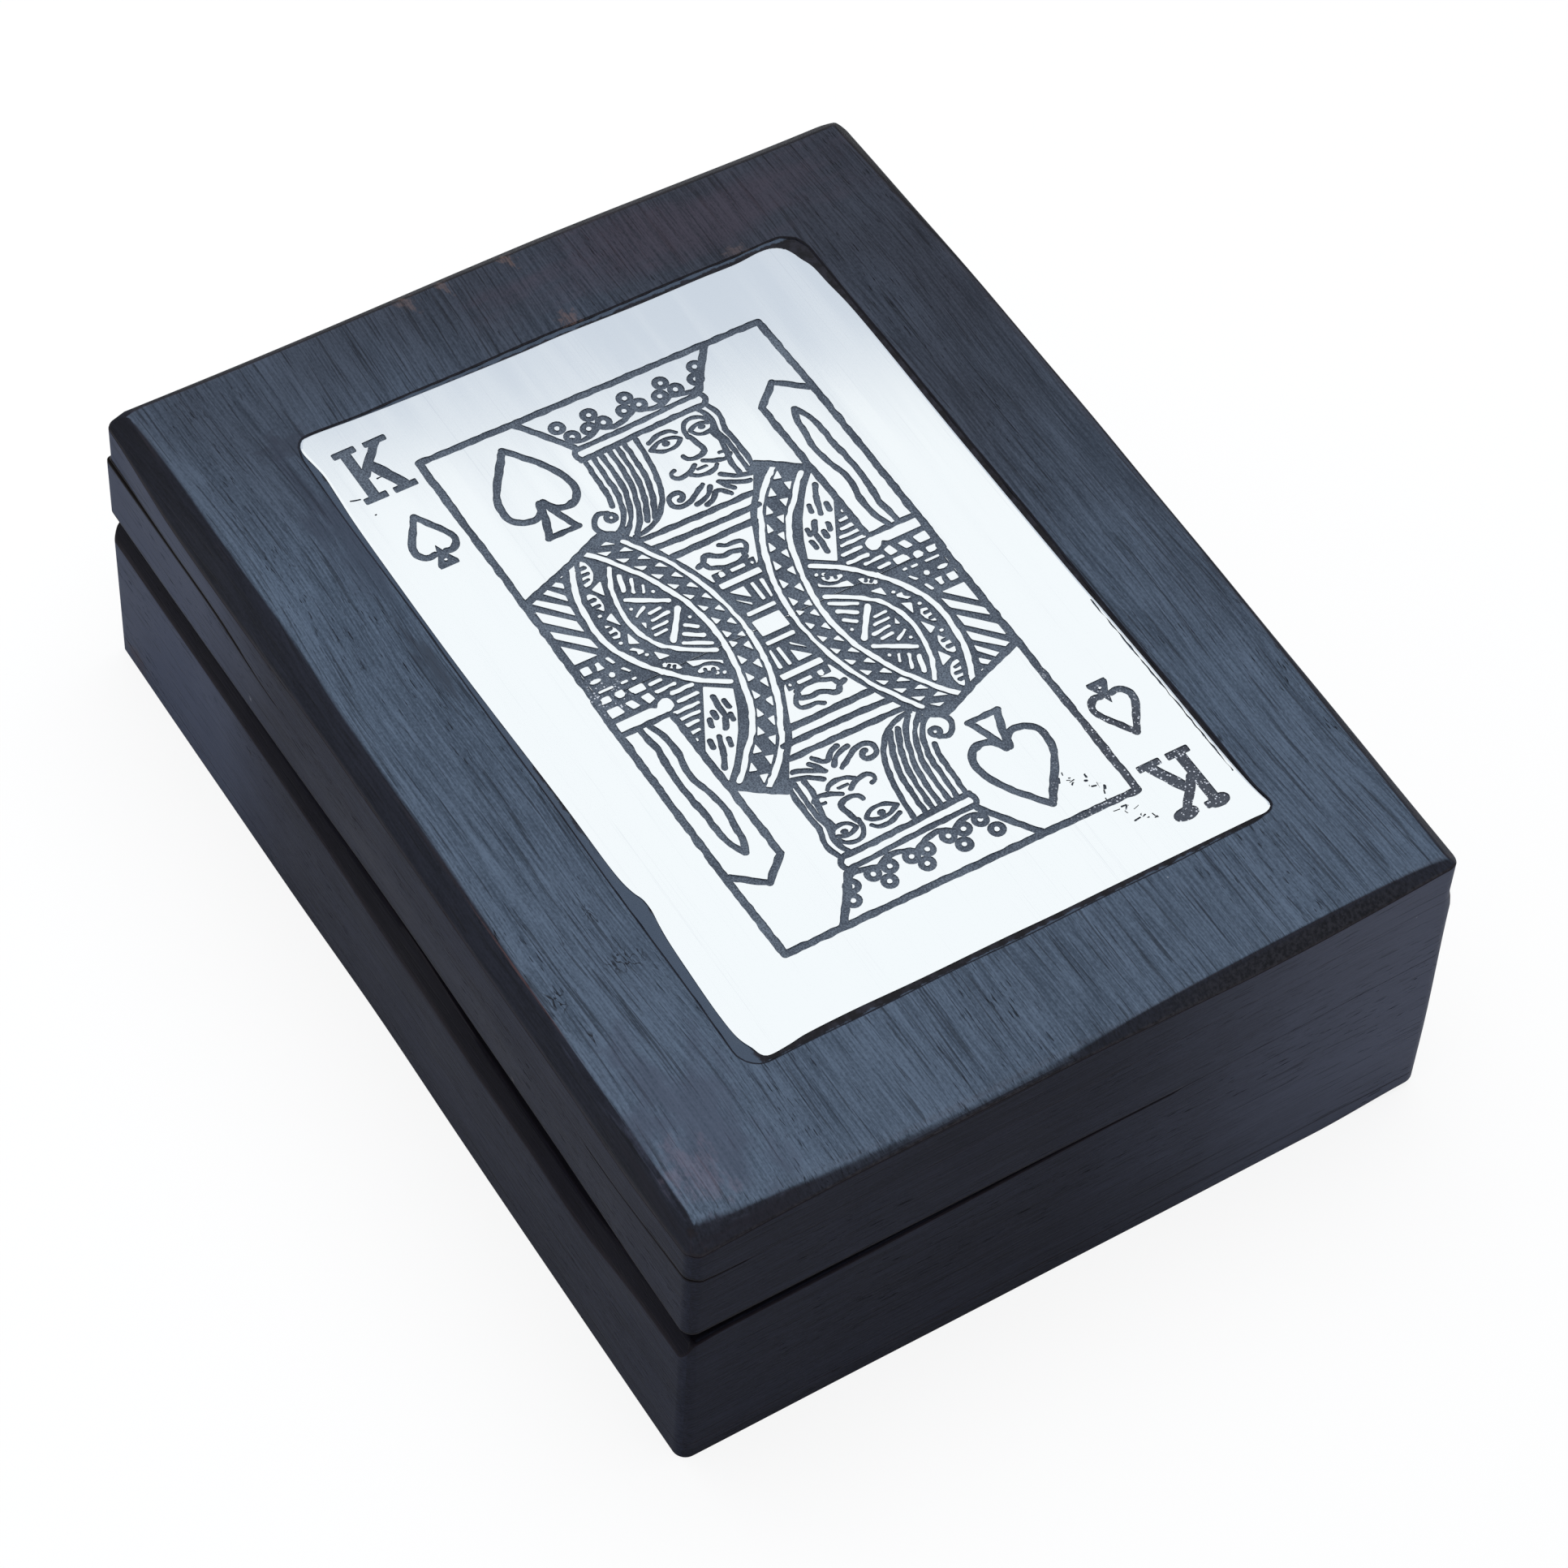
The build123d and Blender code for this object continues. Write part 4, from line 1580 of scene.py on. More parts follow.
@dataclass
class Etching:
    """Sheet of drawn shapes, cut by hand and so slightly uneven."""

    seed: int = 11
    step: float = 0.34
    unevenness: float = 0.035
    etched_spread: float = 1.12
    shapes: list[Shape] = field(default_factory=list)

    def __post_init__(self) -> None:
        """Start the seeded draws."""
        self.random = np.random.default_rng(self.seed)

    def wobble(self, count: int) -> Array:
        """Smoothed seeded offsets for an edge."""
        draws = self.random.normal(0, 1, count + 2)
        return self.unevenness * (draws[:-2] + 2 * draws[1:-1] + draws[2:]) / 2.4

    def line(
        self, width: float, *points: Point, ground: Ground = Ground.ETCHED, layer: Layer = Layer.LINE
    ) -> None:
        """Draw a curved stroke with round ends.

        Args:
            width: Width of the stroke.
            *points: Places it passes through.
            ground: What it leaves.
            layer: Where it lies.
        """
        path = catmull_rom(np.array(points, float), self.step)
        tangent = np.gradient(path, axis=0)
        tangent /= np.linalg.norm(tangent, axis=1)[:, None] + 1e-9
        normal = np.stack([-tangent[:, 1], tangent[:, 0]], 1)
        half = width / 2 * (self.etched_spread if ground is Ground.ETCHED else 1)
        left = path + normal * (half + self.wobble(len(path)))[:, None]
        right = path - normal * (half + self.wobble(len(path)))[:, None]
        angles = np.linspace(0, math.pi, 6)[1:-1]

        def cap(centre: Array, across: Array, along: Array) -> Array:
            """Round end from one side of the stroke to the other."""
            return centre + half * (np.cos(angles)[:, None] * across + np.sin(angles)[:, None] * along)

        end = cap(path[-1], normal[-1], tangent[-1])
        start = cap(path[0], -normal[0], -tangent[0])
        self.shapes.append(Shape([np.vstack([left, end, right[::-1], start])[::-1]], ground, layer))

    def area(
        self, *points: Point, ground: Ground = Ground.METAL, layer: Layer = Layer.INLAY, soft: float = 0.18
    ) -> None:
        """Draw a filled shape with straight sides and slightly softened corners.

        Args:
            *points: Corners in order.
            ground: What it leaves.
            layer: Where it lies.
            soft: How far the softening reaches along a side.
        """
        corners = np.array(points, float)
        before, after = np.roll(corners, 1, 0), np.roll(corners, -1, 0)

        def towards(other: Array) -> Array:
            """Point a little way along a side from each corner.

            Args:
                other: Corner at the other end of each side.

            Returns:
                The points.
            """
            side = other - corners
            length = np.linalg.norm(side, axis=1)[:, None]
            return corners + side / length * np.minimum(soft, length * 0.3)

        near, far = towards(before), towards(after)
        middle = (near + far + 2 * corners) / 4
        loop = np.stack([near, middle, far], 1).reshape(-1, 2)
        loop = loop + self.random.normal(0, self.unevenness * 0.4, loop.shape)
        self.shapes.append(Shape([loop], ground, layer))

    def bar(self, low: Point, high: Point, **looks: Ground | Layer) -> None:
        """Draw an upright bar between two corners."""
        self.area(low, (high[0], low[1]), high, (low[0], high[1]), **looks)

    def oval(
        self, centre: Point, width: float, height: float, ground: Ground = Ground.METAL,
        layer: Layer = Layer.INLAY,
    ) -> None:
        """Draw a filled oval.

        Args:
            centre: Its middle.
            width: Size across the card.
            height: Size up the card.
            ground: What it leaves.
            layer: Where it lies.
        """
        count = max(8, int(math.pi * (width + height) / 2 / self.step))
        angle = np.linspace(0, 2 * math.pi, count, endpoint=False)
        loop = np.stack([centre[0] + width / 2 * np.cos(angle), centre[1] + height / 2 * np.sin(angle)], 1)
        self.shapes.append(Shape([loop + self.random.normal(0, 0.015, loop.shape)], ground, layer))

    def ring(self, centre: Point, radius: float, width: float) -> None:
        """Draw a ring.

        Args:
            centre: Its middle.
            radius: Radius of its line.
            width: Width of its line.
        """
        count = 16
        angle = np.linspace(0, 2 * math.pi, count, endpoint=False)
        circle = np.stack([np.cos(angle), np.sin(angle)], 1)
        outer = np.array(centre) + circle * (radius + width / 2 + self.wobble(count) * 0.6)[:, None]
        inner = np.array(centre) + circle * (radius - width / 2 + self.wobble(count) * 0.4)[:, None]
        self.shapes.append(Shape([outer, inner[::-1]], **DARK))

    def island(self, width: float, *points: Point) -> None:
        """Draw a stroke of bare metal on an etched field."""
        self.line(width, *points, ground=Ground.METAL, layer=Layer.INLAY)

    def add_turned(self, centre: Point) -> None:
        """Repeat everything drawn so far half a turn round a centre."""
        self.shapes += [shape.turned(np.array(centre)) for shape in self.shapes]


@dataclass
class CourtFigure:
    """King of spades in the traditional double-ended pattern, drawn as one half and turned.

    All places are in card millimetres from the middle of the box.
    """

    sheet: Etching
    centre: Point = (0.75, 0.8)

    def draw(self) -> None:
        """Draw one half, then turn it."""
        steps = (
            self.index, self.border, self.pip, self.crown, self.hair, self.eyes, self.nose_and_mouth,
            self.beard, self.side_hair, self.shoulders, self.fields, self.sashes, self.chest, self.sleeve,
            self.sleeve_leaves, self.cuff, self.ermine, self.right_sleeve, self.sword, self.sword_hand,
        )
        for step in steps:
            step()
        self.sheet.add_turned(self.centre)
        self.blots()

    def blots(self) -> None:
        """Round ends that the acid left on two strokes of the turned letter."""
        for centre, width in (((24.05, -40.75), 2.9), ((27.85, -40.95), 2.6)):
            self.sheet.oval(centre, width, 1.7, **DARK)

    def index(self) -> None:
        """Corner letter and the small pip below it."""
        s = self.sheet
        bars = (
            ((-26.8, 35.5), (-25.55, 42.5)), ((-27.5, 42.05), (-24.8, 43)), ((-27.5, 35.05), (-24.75, 36)),
            ((-23.9, 42), (-21.2, 42.85)), ((-24.05, 35), (-21.3, 35.9)),
        )
        for low, high in bars:
            s.bar(low, high, **DARK)
        s.line(0.95, (-25.7, 38.7), (-22.6, 42.3))
        s.line(1.15, (-24.5, 39.7), (-22.6, 35.8))
        s.line(
            0.75, (-24.05, 31.3), (-23, 29.6), (-22.1, 28), (-21.75, 27), (-21.95, 26.1), (-22.6, 25.6),
            (-23.3, 25.7)
        )
        s.line(
            0.75, (-24.05, 31.3), (-25, 29.8), (-26.1, 28), (-26.35, 27), (-25.9, 26), (-25.3, 25.7),
            (-24.6, 25.8)
        )
        s.area(
            (-24, 27), (-23.4, 25.4), (-22.8, 24.3), (-22.8, 23.7), (-25.1, 23.7), (-25.1, 24.3),
            (-24.5, 25.4), **DARK
        )
        s.oval((-23.95, 24.7), 0.3, 0.3, layer=Layer.GLINT)

    def border(self) -> None:
        """Left and top line of the frame, and the right line down to the other half."""
        s = self.sheet
        s.line(0.8, (-20, 37.4), (21.4, 36.85))
        s.line(0.8, (21.4, 36.85), (21.65, 26), (21.65, 0.6))
        s.line(0.8, (-20, 37.4), (-20, 0.6))
        s.line(0.75, (-8.75, 37.1), (-6.55, 34), (-4.75, 31.2))
        s.line(0.8, (14.7, 36.9), (13, 34.7), (10.8, 31.6))

    def pip(self) -> None:
        """Large pip."""
        s = self.sheet
        s.line(
            0.8, (-11.6, 34.6), (-10.4, 33.1), (-9, 31.1), (-8, 29.3), (-7.5, 27.8), (-7.5, 26.4),
            (-8.1, 25.2), (-9, 24.7), (-9.9, 24.7), (-10.8, 25.3), (-11.4, 26.4)
        )
        s.line(
            0.8, (-11.6, 34.6), (-12.7, 33.1), (-14.2, 31), (-15.4, 29), (-15.75, 27.5), (-15.6, 26),
            (-15, 25.2), (-14.2, 24.8), (-13.2, 24.7), (-12.3, 25.2), (-11.8, 26.4)
        )
        s.line(0.75, (-11.8, 26), (-12.4, 24), (-13.2, 21.9))
        s.line(0.75, (-11.3, 26), (-10.7, 24), (-9.9, 21.9))
        s.line(0.65, (-13.4, 21.8), (-9.7, 21.8))

    def crown(self) -> None:
        """Fleurs, scallops and band of the crown."""
        s = self.sheet
        loops = (
            (-5, 34.45), (-4.2, 32.6), (-1.15, 34.4), (-2.1, 32.75), (-0.3, 32.75), (3.35, 34.55),
            (2.4, 33.05), (4.25, 33.05), (7.75, 34.5), (6.75, 32.95), (8.7, 32.95), (12.15, 34.7),
            (11.35, 33.15),
        )
        for centre in loops:
            s.ring(centre, 0.63, 0.7)
        s.line(0.6, (-4.6, 32.3), (-3.9, 31.75), (-3.2, 31.7), (-2.2, 31.9), (-1.15, 32.55))
        s.line(0.6, (-1.1, 32.5), (-0.5, 32), (0.5, 31.7), (1.4, 31.85), (2.4, 32.15), (3.35, 32.75))
        s.line(0.6, (3.4, 32.7), (4.2, 32.2), (5.2, 31.9), (6.2, 31.85), (7.2, 32.2), (7.7, 32.5))
        s.line(0.6, (7.7, 32.5), (8.6, 32.2), (9.4, 31.95), (10.4, 31.95), (11, 32.2))
        s.line(0.62, (-4.8, 30.85), (-2, 30.85), (4, 31), (8, 31.2), (10.3, 31.25))
        s.line(0.68, (-5, 29.3), (-2, 29.35), (0, 29.45), (4, 29.6), (8, 29.7), (10.2, 29.65))
        s.line(0.6, (-4.8, 30.9), (-5.15, 30.4), (-5.2, 29.8), (-4.9, 29.3))
        s.line(0.6, (10.3, 31.3), (10.75, 30.9), (10.75, 30.2), (10.4, 29.7))

    def hair(self) -> None:
        """Long strands at the left of the face, and their curl."""
        s = self.sheet
        w = 0.58
        s.line(w, (-4.75, 29), (-4.9, 26.5), (-5, 25), (-5.1, 23.5), (-5.4, 22.3))
        s.line(w, (-3.75, 29), (-3.9, 26), (-4, 24), (-4.4, 22.2), (-5.2, 20.3), (-6.3, 19.2), (-7.3, 18.9))
        s.line(
            w, (-2.85, 29), (-2.9, 26), (-3.1, 23.8), (-3.7, 21.8), (-4.6, 19.9), (-5.7, 18.6), (-6.2, 18.2)
        )
        s.line(w, (-1.8, 29), (-1.9, 26), (-2.2, 23.7), (-2.9, 21.5), (-3.8, 19.4), (-5, 17.9))
        s.line(w, (-0.85, 29), (-1, 26), (-1.3, 23.7), (-2.1, 21.1), (-3.2, 18.8))
        s.line(w, (0.1, 29), (-0.05, 26), (-0.4, 23.5), (-1.2, 21), (-2.3, 18.8))
        s.line(
            w, (1.45, 29), (1.15, 26), (0.7, 23.5), (-0.1, 21.2), (-1.2, 19.5), (-2.6, 18.3), (-3.9, 17.8),
            (-5.4, 17.6)
        )
        s.line(
            0.6, (-6.3, 21.75), (-7.2, 22.1), (-8, 21.6), (-8.4, 20.7), (-8.2, 19.8), (-7.5, 19.2),
            (-6.6, 18.9), (-5.7, 19)
        )
        s.oval((-6.3, 21.05), 1.65, 1.6, **DARK)
        s.oval((-6.3, 21.06), 0.36, 0.36, layer=Layer.GLINT)

    def eyes(self) -> None:
        """Brows and eyes."""
        s = self.sheet
        s.line(0.5, (2.3, 27.85), (3.2, 28.2), (4.3, 28.4), (5.2, 28.2), (5.6, 27.8))
        s.line(0.5, (2, 26.9), (3, 27.35), (4, 27.5), (5, 27.3), (5.6, 26.8))
        s.line(0.45, (2, 26.9), (3, 26.2), (3.9, 26), (4.9, 26.2), (5.6, 26.8))
        s.oval((3.9, 26.95), 1, 0.9, **DARK)
        s.line(0.55, (6.4, 26.5), (6.55, 27.8), (7.1, 28.5), (8.1, 28.7), (9, 28.3), (9.4, 27.8))
        s.line(0.5, (7.1, 27.3), (7.8, 27.6), (8.6, 27.6), (9.3, 27.3))
        s.line(0.45, (7, 27.2), (7.5, 26.4), (8.4, 26.15), (9.2, 26.4), (9.7, 27))
        s.oval((8.4, 27.1), 0.9, 0.8, **DARK)

    def nose_and_mouth(self) -> None:
        """Nose, moustache and mouth."""
        s = self.sheet
        s.line(
            0.6, (6.6, 26.5), (6.8, 25.5), (6.95, 24.6), (6.9, 24.1), (6.2, 23.75), (5.4, 23.75), (4.8, 24),
            (4.6, 24.5)
        )
        s.line(0.55, (2.7, 23.3), (2.2, 23.1), (2.1, 22.6), (2.6, 22.15), (3.6, 22.2), (4.4, 22.5), (5, 22.9))
        s.line(0.55, (6.1, 23), (6.8, 22.6), (7.6, 22.25), (8.4, 22.1), (9.1, 22.5))
        s.line(0.5, (8.2, 23.1), (8.9, 23.05))
        s.line(0.5, (3.9, 22), (4.6, 21.5), (5.7, 21.25), (6.8, 21.5), (7.1, 21.8))
        s.line(0.4, (5, 22.25), (6, 22.2))

    def beard(self) -> None:
        """Curls of the beard."""
        s = self.sheet
        w = 0.58
        s.line(
            w, (1.1, 19.5), (1.5, 19.6), (1.8, 20), (1.6, 20.5), (1, 20.6), (0.4, 20.4), (0.1, 19.8),
            (0.2, 19.1), (0.9, 18.7), (1.8, 18.8), (2.8, 19.3), (3.6, 19.8), (4.3, 20.2)
        )
        s.line(w, (2.4, 18.15), (3.3, 18.35), (4.3, 18.9), (4.9, 19.6))
        s.line(w, (3.3, 17.6), (4.3, 18), (5.1, 18.7), (5.6, 18.6), (6.3, 17.7))
        s.line(w, (6, 19.7), (6.4, 18.9), (7, 18.2))
        s.line(w, (6.1, 19.7), (7.2, 19), (8.4, 18.4), (9, 18.3))
        s.line(w, (6.7, 20.5), (7.8, 19.7), (8.8, 19.2), (9.8, 19), (10.4, 19.5))

    def side_hair(self) -> None:
        """Strands at the right of the face."""
        s = self.sheet
        s.line(0.6, (8.6, 19.8), (8.55, 21.3), (8.9, 22.8), (9.2, 24.5), (9, 26))
        s.line(
            0.55, (9.65, 19.8), (9.7, 22), (9.7, 24.2), (9.5, 25.8), (9.8, 27.4), (9.75, 28.4), (9.3, 29.3)
        )
        s.line(
            0.6, (10.4, 19.9), (10.45, 22), (10.5, 24), (10.35, 25.6), (10.7, 26.6), (10.85, 28), (10.4, 29.6)
        )
        s.bar((9.3, 19), (10.6, 20), **DARK)

    def shoulders(self) -> None:
        """Slopes of the shoulders and the lines below the collar."""
        s = self.sheet
        s.line(0.75, (-19.5, 15.5), (-17, 16.4), (-13, 17.8), (-10, 19.05), (-8.6, 19.6))
        s.line(0.8, (10.6, 20), (12, 19.1), (13.5, 18), (14.9, 16.9), (15.3, 16.6))
        s.line(0.68, (-5.3, 16.9), (1, 16.75), (8.6, 16.7))
        s.line(0.72, (-4.6, 15.3), (0, 15.05), (8, 15))
        s.line(0.8, (-3.5, 13.35), (6.5, 13.35))

    def fields(self) -> None:
        """Etched grounds that the coat's bright ornaments lie on."""
        grounds = (
            (
                (-19.6, 15.6), (-17, 16.6), (-13, 18), (-10, 19.2), (-8.6, 19.9), (-7, 19.3), (-5.6, 17.6),
                (-4, 14.5), (-2.9, 12), (-1.9, 9.4), (-1.3, 8.4), (-1.3, 0.8), (-19.6, 0.8),
            ),
            (
                (10.6, 20.2), (13.5, 18.3), (15.2, 17), (15.9, 16.6), (15.9, 5.9), (21.3, 5.9), (21.3, 0.8),
                (2.4, 0.8), (2.6, 3.2), (4, 9), (5.8, 12.9), (6.9, 14.9), (8.4, 16.7),
            ),
            ((-1.9, 9.4), (4, 9.4), (3, 0.8), (-1.3, 0.8)),
        )
        for ground in grounds:
            self.sheet.area(*ground, ground=Ground.ETCHED, layer=Layer.FIELD)

    def teeth(self, first: Sequence[Point], second: Sequence[Point], count: int) -> None:
        """Bright triangles between two edges of a sash, alternating from side to side.

        Args:
            first: Points of the left edge from the top down.
            second: Points of the right edge from the top down.
            count: Number of triangles on each side.
        """
        fine = 0.1
        left, right = (catmull_rom(np.array(edge, float), fine) for edge in (first, second))
        for k in range(2 * count):
            place = (k + 0.7) / (2 * count)
            half = 0.27 / count
            near, far = (left, right) if k % 2 == 0 else (right, left)
            skew = 0.5 * half * (1 if k % 2 == 0 else -1)
            shares = np.array([place - half, place + skew, place + half]).clip(0, 1)
            a, b = resample(near, shares), resample(far, shares)
            corners = (a[0] + 0.19 * (b[0] - a[0]), a[1] + 0.45 * (b[1] - a[1]), a[2] + 0.19 * (b[2] - a[2]))
            self.sheet.area(*map(tuple, corners), soft=0.16)

    def sashes(self) -> None:
        """Both crossing sashes, each with two bright edges and a row of teeth."""
        s = self.sheet
        left_outer = ((-11.2, 18.2), (-9.5, 16.1), (-8.3, 14.2), (-7.3, 12.6), (-6.25, 10), (-5.5, 8),
                      (-5, 6), (-4.75, 4), (-4.7, 2), (-4.78, 0.6))
        left_inner = ((-6.9, 17.7), (-5.9, 16.2), (-5, 14.5), (-4.3, 13.3), (-3.6, 11.5), (-3, 9.8),
                      (-2.5, 8), (-2.1, 6), (-1.85, 4), (-1.75, 2), (-1.78, 0.6))
        right_inner = ((11.9, 18.5), (11.2, 18), (10.1, 17), (9.1, 16), (8.3, 15), (7.6, 14), (6.6, 12),
                       (5.5, 10), (4.75, 8), (4.1, 6), (3.65, 4), (3.4, 2), (3.28, 0.6))
        right_outer = ((14.2, 16.5), (13, 15.4), (12, 14.2), (11.2, 13.3), (9.9, 12), (9.25, 11),
                       (8.7, 10), (8.2, 9), (7.7, 7.5), (7.3, 6), (6.8, 4), (6.45, 2), (6.28, 0.6))
        for width, edge in ((0.58, left_outer), (0.5, left_inner), (0.6, right_inner), (0.6, right_outer)):
            s.island(width, *edge)
        self.teeth(((-12.3, 19.3), *left_outer), ((-8.6, 19.4), *left_inner), 10)
        self.teeth(right_inner, right_outer, 8)

    def chest(self) -> None:
        """Knot on the chest and the ladder of bars below it."""
        s = self.sheet
        s.area((-3, 12.9), (5.9, 12.9), (4, 8.6), (3.7, 8.3), (-1.6, 8.3), (-2.2, 10))
        s.line(0.55, (1.5, 12.3), (2.3, 11.95), (3.2, 11.9), (3.9, 11.6), (4, 10.9), (3.7, 10.4), (3.2, 10.1))
        s.line(0.6, (-1.9, 10.8), (-1.2, 11.1), (-0.7, 11.7), (0, 11.6), (1, 11), (2.5, 10.9), (3.3, 10.5))
        s.line(0.6, (-1.2, 10.9), (-0.9, 10.2), (0, 9.7), (1, 9.4), (2.2, 9.4), (3.2, 9.7))
        s.area((-1.3, 9.3), (3.9, 9.3), (3.6, 8.1), (-1.4, 8.1), **DARK)
        s.area((-0.6, 8.5), (0.1, 8.5), (0, 9.1), (-0.3, 9.25), (-0.6, 9), layer=Layer.GLINT)
        s.bar((0.8, 8.55), (2.5, 9), layer=Layer.GLINT)
        s.oval((3.3, 8.65), 0.35, 0.35, layer=Layer.GLINT)
        bars = (
            ((-1.3, 7.05), (3.6, 7.8)), ((1.65, 3.85), (2.05, 6.4)), ((-0.8, 2.65), (2.6, 3.15)),
            ((-0.7, -0.3), (2.4, 1.9)),
        )
        for low, high in bars:
            s.bar(low, high)
        s.area((-0.85, 6.35), (0.9, 6.4), (0.9, 4.7))
        s.area((-0.85, 5.3), (0.5, 4.1), (0.4, 3.8), (-0.6, 4.9))
        s.area((2.75, 6.4), (3.2, 6.3), (2.85, 3.8), (2.6, 3.8))

    def toothed_crescent(self, outline: Sequence[Point], teeth: Sequence[tuple[Point, Point]]) -> None:
        """Bright crescent along the sleeve's edge with dark teeth in it.

        Args:
            outline: Corners of the crescent.
            teeth: Start and end of each tooth.
        """
        self.sheet.area(*outline)
        for tooth in teeth:
            self.sheet.line(0.42, *tooth)

    def sleeve(self) -> None:
        """Left sleeve: slanting stripes, two long arcs and the trim between them."""
        s = self.sheet
        stripes = (
            ((-16.5, 16.4), (-16, 16.7), (-15.1, 15.9), (-15.3, 15.2)),
            ((-17.7, 15.9), (-17.1, 16.15), (-15.7, 14.4), (-15.8, 13.6)),
            ((-19.3, 15.2), (-18.7, 15.5), (-16.05, 12.9), (-16.1, 11.6)),
            ((-19.5, 14.1), (-19.5, 12.5), (-16.4, 9.3), (-16.4, 10.9)),
            ((-19.5, 11.1), (-19.5, 10), (-16.25, 6.7), (-16.4, 8.2)),
            ((-19.5, 8.9), (-19.5, 6.05), (-16.8, 6.05)), ((-13, 13.7), (-11.6, 14.3), (-12.2, 12.4)),
            ((-13.7, 9.6), (-12.8, 10.1), (-12.75, 8.2)), ((-13.3, 5.7), (-12.7, 7), (-12.3, 5.2)),
            ((-11.6, 3.6), (-10.4, 2.3), (-11.6, 2.4)),
            ((-13.7, 5), (-13.2, 5.1), (-12.4, 4.3), (-12.5, 4), (-13.2, 4), (-13.05, 4.5)),
        )
        for stripe in stripes:
            s.area(*stripe)
        for dot in ((-14.85, 16.85), (-14, 10.3), (-13.95, 6.2), (-12.4, 3.6), (-11.5, 1.6)):
            s.oval(dot, 0.45, 0.4)
        s.island(
            0.62, (-13.2, 17.5), (-14, 15.6), (-14.8, 13.6), (-15.15, 12), (-15.35, 10), (-15.4, 8),
            (-15.05, 6), (-14.2, 4), (-13, 2), (-12.1, 0.8)
        )
        s.island(
            0.5, (-9.95, 15.3), (-10.5, 14.2), (-11.05, 13.1), (-11.35, 12), (-11.75, 10), (-11.85, 8),
            (-11.55, 6), (-11.15, 5), (-10.6, 4), (-9.6, 3), (-8.3, 2), (-7, 1.25), (-5.9, 0.6)
        )
        self.toothed_crescent(
            ((-12.1, 17.6), (-11.75, 17.1), (-11.6, 16.4), (-11.75, 15.5), (-12.15, 14.8), (-12.7, 14.35),
             (-13.3, 14.25), (-13.4, 14.6), (-13.05, 15.5), (-12.75, 16.3), (-12.45, 17.1)),
            (((-13, 16.65), (-12.1, 16.6)), ((-13.2, 15.8), (-12.2, 15.8)), ((-13.4, 14.95), (-12.6, 15.05))),
        )
        self.toothed_crescent(
            ((-13.8, 13.35), (-13.4, 13.3), (-13, 12.8), (-12.85, 12), (-12.95, 11.2), (-13.3, 10.6),
             (-13.6, 11.2), (-14, 11.3), (-14, 12.9)),
            (((-14.3, 12.45), (-13.35, 12.45)), ((-14.3, 11.5), (-13.35, 11.55))),
        )
        self.toothed_crescent(
            ((-14.3, 9), (-13.8, 8.7), (-13.4, 8.1), (-13.3, 7.4), (-13.6, 6.8), (-14.3, 7)),
            (((-14.5, 8.35), (-13.85, 8.4)), ((-14.5, 7.5), (-13.75, 7.55))),
        )

    def sleeve_leaves(self) -> None:
        """Bars on the inside of the left sleeve, like the veins of two leaves."""
        s = self.sheet
        bars = (
            (0.5, (-10.2, 12), (-9.6, 13.9)), (0.4, (-9.35, 11.3), (-8.7, 12.9)),
            (0.3, (-8.5, 10.8), (-8.1, 11.6)), (0.55, (-10.6, 10.8), (-6.8, 8.6)),
            (0.35, (-10.7, 8.4), (-9.5, 9.1)), (0.37, (-9.4, 8.1), (-8.1, 8.2)),
            (0.37, (-9.6, 7.15), (-7.6, 7.3)), (0.37, (-10.1, 6.2), (-8.4, 6.3)),
            (0.37, (-10.3, 5.35), (-9, 5.4)), (0.6, (-9.1, 3.8), (-6.5, 7.3)),
            (0.48, (-7, 4.95), (-6, 4.2)), (0.48, (-7.7, 4), (-6, 2.9)), (0.45, (-8.35, 3), (-5.85, 1.6)),
        )
        for width, start, end in bars:
            s.island(width, start, end)
        for dot in ((-7.6, 10.4), (-10.75, 9.5), (-6.05, 5.65)):
            s.oval(dot, 0.4, 0.4)
        s.area((-10.8, 7.5), (-10.3, 7.2), (-10.7, 6.5))

    def cuff(self) -> None:
        """Small links of the left cuff."""
        s = self.sheet
        links = (
            ((-19.4, 4.3), (-18.4, 5.3)), ((-19.4, 0.2), (-18.5, 1)), ((-17.8, 0.2), (-16.9, 1)),
            ((-16.1, -0.2), (-14.7, 0.7)), ((-19.2, 1.6), (-17.5, 1.9)), ((-16.6, 1.55), (-15.8, 1.85)),
            ((-15.35, 1.45), (-14.85, 1.75)),
        )
        for low, high in links:
            s.bar(low, high)
        s.area((-17.7, 5.2), (-17.2, 5.2), (-17.2, 4.8), (-17, 4.2), (-17.9, 4.2), (-17.7, 4.7))
        s.area((-16.4, 5.3), (-16, 5.3), (-15.7, 4.3), (-16, 4.3))
        s.area((-15.7, 3.4), (-15.3, 3.4), (-14.8, 2.6), (-15.1, 2.6))
        s.oval((-18.7, 3.2), 1.3, 0.55)
        s.oval((-16.8, 3.1), 0.7, 0.7)

    def ermine(self) -> None:
        """Fur facing at the right, with its dark tails."""
        s = self.sheet
        s.area(
            (15.1, 16), (15.15, 11.6), (11.1, 4.4), (8.55, 6.15), (9.6, 8.6), (10.9, 10.9), (12.4, 13),
            (13.6, 14.5)
        )
        tails = (
            ((12.5, 12.2), (12.3, 11.4)), ((13.8, 13), (13.4, 11.85), (13, 10.7)),
            ((14.25, 11.6), (14.1, 10.7)), ((14.6, 14.4), (13.9, 13.2)), ((10.6, 9.5), (10.5, 8.8)),
            ((11.9, 10.1), (11.2, 9)), ((11.1, 9), (11.05, 7.6), (10.9, 6)), ((12, 8.5), (11.95, 7.7)),
            ((12.9, 9.2), (12.7, 8.4)), ((10.1, 7.9), (10.15, 7)),
        )
        for tail in tails:
            s.line(0.6, *tail)

